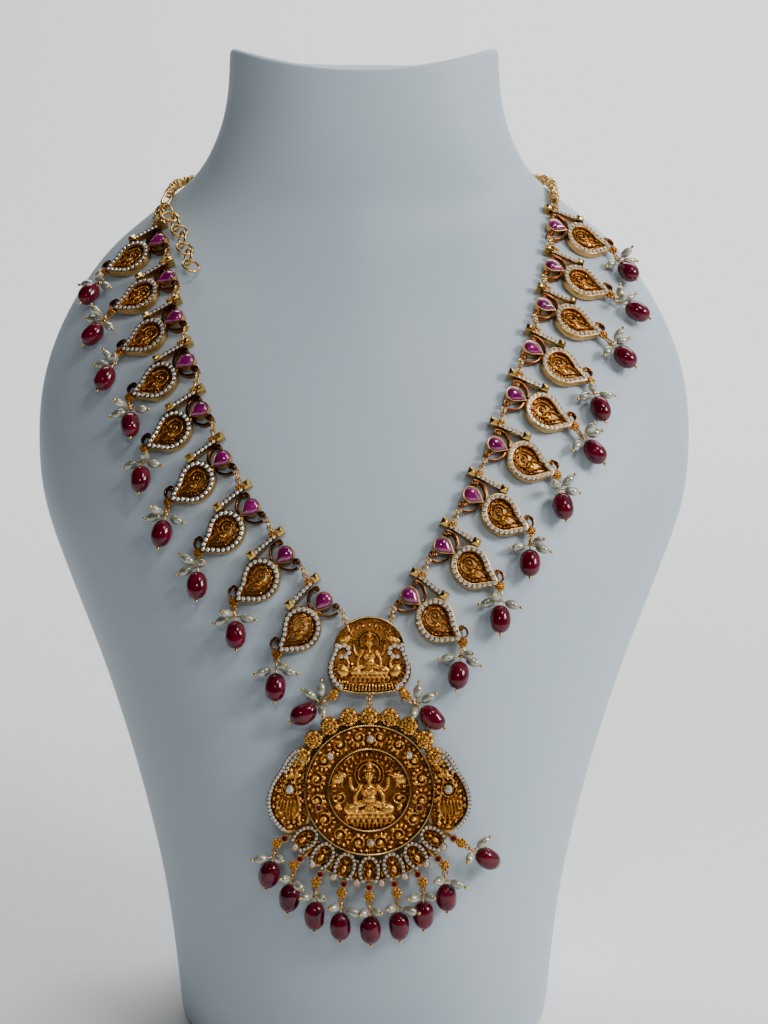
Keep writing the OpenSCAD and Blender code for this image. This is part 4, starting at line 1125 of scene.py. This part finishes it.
def heart_relief():
    """The goddess between elephants and foliage, inside the inner ring."""
    r = Relief(1.5)
    deity(r, (0, -0.9), 1.2)
    for m in (-1, 1):
        elephant(r, (m * 8.8, 4.0), 0.85, m)
        r.ridge(scroll((m * 9.6, -2.4), 2.3, 0.5, 90 - 90 * m, -1.2 * m, 36), 0.42, 1.3)
        r.dome((m * 9.6, -2.4), 0.8, 1.5)
        r.dome((m * 10.2, -5.6), 1.1, 1.3, 1.3, 60 * m)
        r.ridge(flowing([(m * 5.2, 10.8), (m * 6.6, 10.6), (m * 8.0, 9.4)]), 0.4, 1.1)
    for i in range(9):
        r.ridge([(-5.2 + 1.3 * i, -12.2 + 0.05 * (i - 4) ** 2), (-5.2 + 1.3 * i, -11.1)], 0.45, 1.3)
    for a in range(-34, 215, 8):
        r.dome(polar(a, 11.5), 0.46, 1.05, 2.0, a)
    for a in range(8, 173, 11):
        r.dome(polar(a, 9.4) + [0, 0.4], 0.55, 1.0, 1.3, a)
    r.beads(arc((0, 0), INNER_R - 1.2, 0, 360, 120), 84, 0.3, 0.8, closed=True)
    return r


def main_form():
    form = Form()
    circle, dense, broad = (arc((0, 0), 1.0, 0, 360, steps)[:-1] for steps in (240, 260, 400))
    form.add(*slab(circle * MAIN_R, 1.3), ON_WALL)
    cast(form, dense * (INNER_R - 0.6), np.zeros(2), 52, heart_relief())
    cast(form, broad * (MAIN_R - 0.6), np.zeros(2), 22, band_relief(), None,
         (INNER_R - 0.3) / (MAIN_R - 0.6))
    fence(form, circle * (MAIN_R - 0.3), 0.5, MAIN_T + 0.25, ON_WIRE, 0.2, True)
    fence(form, circle * (INNER_R - 0.45), 0.5, MAIN_T + 0.45, ON_WIRE, 0.2, True)
    post = lathe([(0, 0), (3.2, 0), (3.2, 1.0), (2.8, 1.5), (0, 1.6)], 24)
    for i in range(9):
        a = 26 + 16 * i
        at = polar(a, MAIN_R + (2.3 if i == 4 else 3.1))
        mount(form, post, at, 0, ON_WALL)
        rosette(form, at, 3.3, 1.7, a)
        for off in (-8, 8):
            mount(form, cap(1.5, 2.4, 14, 5), polar(a + off, MAIN_R + 2.2), 0.2, ON_RELIEF)
    petal, filler = petal_form(15, 10), petal_form(11, 6)
    step = PETAL_SWEEP / (PETALS - 1)
    for i in range(PETALS):
        form.join(petal, turned(PETAL_START + step * i, MAIN_R + 4.6))
    for i in range(PETALS - 1):
        form.join(filler, turned(PETAL_START + step * (i + 0.5), MAIN_R + 5.4, FILLER_SIZE))
    side = panel_form()
    form.join(side)
    form.join(side, lambda p: p * [-1, 1, 1], flip=True)
    for at in ((0.5, 16.7), (13.2, 11.4), (-12.8, 11.0), (0.6, -17.4)):
        round_gem(form, at, 0.95, 3.0, ON_WHITE)
    for m in (-1, 1):
        round_gem(form, (m * 16.6, -6.0), 0.95, 2.9, ON_RED)
    for i in range(FAN_DROPS):
        a = FAN_START + FAN_STEP * i
        stem = np.array([polar(a, MAIN_R + 5.4), polar(a, FAN_OUT)])
        fence(form, spaced(stem, 4, False), 1.3, 1.6, ON_WALL)
        round_gem(form, polar(a, MAIN_R + 10.6), 0.95, 2.4, ON_RED)
        rosette(form, polar(a, FAN_OUT), ROSETTE_R, MAIN_T / 2)
        if i:
            round_gem(form, polar(a - FAN_STEP / 2, MAIN_R + 9.3), 0.9, 2.6, ON_WHITE)
    return form


def pendants(shell, frames):
    small = pendant_frame("small_pendant", SMALL_Z, shell)
    put = place_in(small)
    form = Form()
    form.join(small_form(), put)
    pins = pins_of("drop_pins_right") + pins_of("drop_pins_left") + pins_of("fan_pins")
    for m, (name, _) in zip((1, -1), SIDES):
        low = place_in(frames[name][1])([*LOWER_EYE, EYE_Z])
        shoulder = put([m * SMALL_W * 0.24, SMALL_H * 0.3, PLATE_T / 2])
        top = low + unit(shoulder - low) * RING_D
        eye(form, top, small[3])
        form.add(*rod(top + unit(shoulder - top) * EYE_D / 2, shoulder, 0.6, 12), ON_WALL)
        eye(form, hung_from(pins, small, SMALL_KNOB * [m, 1]), small[3])
    eye(form, put([0, -SMALL_H / 2 - EYE_D / 2 + 0.1, EYE_Z]), small[3])
    dress("small_pendant", form, PLATE_PAINTS)
    main = pendant_frame("main_pendant", MAIN_Z, shell)
    put = place_in(main)
    form = Form()
    form.join(main_form(), put)
    eye(form, put([0, MAIN_R + 5.7 + EYE_D / 2 - 0.1, EYE_Z]), main[3])
    for i in range(FAN_DROPS):
        at = polar(FAN_START + FAN_STEP * i, FAN_OUT)
        eye(form, hung_from(pins, main, at), main[3])
    dress("main_pendant", form, PLATE_PAINTS)


# Drops

def bead_form(length, width, seed, power, lump):
    """A slightly uneven oval bead about its own z, with a small hole at each end."""
    rng = np.random.default_rng(seed)
    z = -np.cos(np.linspace(0.16, math.pi - 0.16, BEAD_ROWS)) * length / 2
    r = width / 2 * (1 - np.abs(2 * z / length) ** power) ** 0.5
    profile = [(0, z[0] + 0.1), *zip(r, z), (0, z[-1] - 0.1)]
    points, faces = lathe(profile, BEAD_SIDES)
    q = points / length
    swell = 1 + lump * sum(np.sin(7 * q @ w + 3 * w[0]) for w in rng.uniform(-1, 1, (3, 3)))
    points[:, :2] *= np.minimum(swell, 1.0 + lump * 0.3)[:, None]
    return points, faces


def beads(node_name, seed, paint, slot, length, width, power, lump):
    form = Form()
    for i, t in enumerate(sorted(islands(node_name), key=lambda t: t.mean((0, 1))[2])):
        centre, axis = long_axis(t)
        points, faces = bead_form(length, width, seed + i, power, lump)
        form.add(centre + points @ turned_to(axis, [0.3, 0.5, 0.8]), faces)
    dress(node_name, form, [paint], sharp=60)


def hung_from(pins, f, at):
    """The eye that a drop hangs from: the nearest part of its pins' ring shows the way it lies."""
    centre = place_in(f)([*at, PLATE_T / 2])
    points = min(pins, key=lambda p: np.linalg.norm(p - centre, axis=1).min())
    reach = np.linalg.norm(points - centre, axis=1)
    toward = points[reach < reach.min() + 0.12].mean(0) - centre
    toward -= f[3] * (toward @ f[3])
    return centre + unit(toward) * EYE_GAP


def pins_of(node_name):
    return [t.reshape(-1, 3) for t in islands(node_name)]


# Back chain

def rope(node_name, hook):
    """Tilted, interlocked rings that follow the CAD chain's links."""
    links_along = [t.reshape(-1, 3) for t in islands(node_name)]
    middles = [p.mean(0) for p in links_along]
    order = [min(range(len(middles)), key=lambda i: middles[i][2])]
    while len(order) < len(middles):
        rest = [i for i in range(len(middles)) if i not in order]
        order.append(min(rest, key=lambda i: np.linalg.norm(middles[i] - middles[order[-1]])))
    chosen = np.array([middles[i] for i in order])
    ends = [links_along[order[i]] for i in (0, -1)]
    aims = (unit(chosen[0] - chosen[1]), unit(chosen[-1] - chosen[-2]))
    tips = [c + aim * ((p - c) @ aim).max() * 0.85
            for p, c, aim in zip(ends, (chosen[0], chosen[-1]), aims)]
    path = flowing(np.concatenate([tips[:1], chosen, tips[1:]]), 10)
    length = np.linalg.norm(np.diff(path, axis=0), axis=1).sum()
    path = spaced(path, int(length / ROPE_STEP), False)
    along = np.gradient(path, axis=0)
    form, ring = Form(), torus(ROPE_D, ROPE_WIRE, 22, 7)
    for i, (p, t) in enumerate(zip(path, along)):
        if np.linalg.norm(p - hook) < HOOK_ROOM:
            continue
        t = unit(t)
        a = unit(np.cross(t, UP))
        b = np.cross(t, a)
        spin = math.radians(ROPE_TURN * i)
        n = unit(t * ROPE_ALONG + (a * math.cos(spin) + b * math.sin(spin)) * ROPE_ACROSS)
        form.add(p + ring[0] @ turned_to(n, t), ring[1])
    dress(node_name, form, [WIRE_GOLD], sharp=60)


# Bust

def bust_form():
    """The CAD bust with its facets subdivided into a smooth skin."""
    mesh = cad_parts["bust"].data.copy()
    mesh.name = "bust_look"
    mesh.materials.clear()
    mesh.materials.append(BUST)
    piece = placed("bust_look", mesh)
    bm = bmesh.new()
    bm.from_mesh(mesh)
    bmesh.ops.remove_doubles(bm, verts=bm.verts, dist=0.02 * MM)
    bmesh.ops.join_triangles(bm, faces=bm.faces, angle_face_threshold=0.9,
                             angle_shape_threshold=2.0)
    for f in bm.faces:
        f.smooth = True
    bm.to_mesh(mesh)
    bm.free()
    soft = piece.modifiers.new("smooth", "SUBSURF")
    soft.levels = soft.render_levels = 2
    bpy.context.view_layer.update()
    smooth = piece.evaluated_get(bpy.context.evaluated_depsgraph_get())
    done = bpy.data.meshes.new_from_object(smooth)
    piece.modifiers.clear()
    piece.data = done
    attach(piece, "root")
    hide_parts("bust")


# Light, floor and camera. Focal length and height are in the photo's pixels, places in metres.

FOCAL_PX, IMAGE_H = 2121, 1024
LOOK_DOWN = math.radians(10)
AIM, DISTANCE = Vector((0.0073, -0.054, 0.190)), 0.700
FLOOR_HALF, SWEEP_START, SWEEP_R, WALL_TOP = 6.0, 1.6, 1.0, 4.0


def add_camera():
    camera = bpy.data.cameras.new("camera")
    camera.sensor_fit = "VERTICAL"
    camera.sensor_height = 36
    camera.lens = 36 * FOCAL_PX / IMAGE_H
    camera.clip_start = 0.01
    eye_point = placed("camera", camera)
    ahead = Vector((0, math.cos(LOOK_DOWN), -math.sin(LOOK_DOWN)))
    eye_point.location = AIM - ahead * DISTANCE
    eye_point.rotation_euler = (math.pi / 2 - LOOK_DOWN, 0, 0)
    bpy.context.scene.camera = eye_point


def add_lamp(name, place, aim, size, power):
    data = bpy.data.lights.new(name, "AREA")
    data.shape = "RECTANGLE"
    data.size, data.size_y = size
    data.energy = power
    lamp = placed(name, data)
    lamp.location = place
    lamp.rotation_euler = (Vector(aim) - Vector(place)).to_track_quat("-Z", "Y").to_euler()


def add_studio():
    rows = [(-FLOOR_HALF, 0.0)] + [
        (SWEEP_START + SWEEP_R * math.sin(t), SWEEP_R - SWEEP_R * math.cos(t))
        for t in np.linspace(0, math.pi / 2, 25)] + [(SWEEP_START + SWEEP_R, WALL_TOP)]
    mesh = bpy.data.meshes.new("floor")
    mesh.from_pydata([(x, y, z) for y, z in rows for x in (-FLOOR_HALF, FLOOR_HALF)], [],
                     [(2 * i, 2 * i + 1, 2 * i + 3, 2 * i + 2) for i in range(len(rows) - 1)])
    mesh.shade_smooth()
    mesh.materials.append(plain("floor_paper", (0.86, 0.865, 0.87), 0.6))
    floor = placed("floor", mesh)
    world = bpy.data.worlds.new("studio")
    world.use_nodes = True
    tree = world.node_tree
    back = tree.nodes["Background"]
    where = node(tree, "TexCoord")
    lean = node(tree, "VectorMath", operation="DOT_PRODUCT")
    lean.inputs[1].default_value = (0.72, 0.6, 0.35)
    tree.links.new(where.outputs["Generated"], lean.inputs[0])
    tone = ramp(tree, lean.outputs["Value"],
                [(0.1, (0.012, 0.012, 0.013)), (0.4, (0.22, 0.23, 0.25)),
                 (0.66, (0.97, 0.98, 1.0))])
    tree.links.new(tone.outputs["Color"], back.inputs["Color"])
    back.inputs["Strength"].default_value = 0.6
    bpy.context.scene.world = world
    middle = (0, -0.03, 0.18)
    add_lamp("key", (0.95, -0.5, 0.75), middle, (0.36, 0.36), 11)
    add_lamp("top", (0.42, -0.5, 1.1), middle, (0.24, 0.24), 3)
    add_lamp("sparkle", (-0.05, -0.95, 0.8), middle, (0.06, 0.06), 1.4)
    add_lamp("backdrop", (0.6, 1.3, 2.2), (0.4, 2.4, 0.4), (2.6, 1.2), 85)


# CAD pieces that stay in the view and only take the wire's gold
WIRE_WORK = ("drop_pins", "fan_pins", "link_rings", "pendant_bail", "clasp_hook", "extender_rings")


def main():
    add_camera()
    add_studio()
    corners = surface("bust").reshape(-1, 3)
    shell = BVHTree.FromPolygons([Vector(p) for p in corners],
                                 [(i, i + 1, i + 2) for i in range(0, len(corners), 3)])
    frames = {name: {k: link_frame(f"{name}_{k}", side) for k in range(1, LINKS + 1)}
              for name, side in SIDES}
    bust_form()
    links(frames)
    cabochons(frames)
    pendants(shell, frames)
    ruby = (RUBY, "ruby_bead_glass", BEAD_L, BEAD_D, 2.4, 0.03)
    pearl = (PEARL, "pearl", PEARL_L, PEARL_D * 0.94, 2.0, 0.04)
    for name, _ in SIDES:
        beads(f"drop_rubies_{name}", 11, *ruby)
        beads(f"drop_pearls_{name}", 71, *pearl)
    beads("fan_rubies", 31, *ruby)
    beads("fan_pearls", 51, *pearl)
    hook = surface("clasp_hook").reshape(-1, 3).mean(0)
    for name, _ in SIDES:
        rope(f"back_chain_{name}", hook)
    for name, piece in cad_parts.items():
        if name.startswith(WIRE_WORK):
            piece.data.materials.clear()
            piece.data.materials.append(WIRE_GOLD)


main()
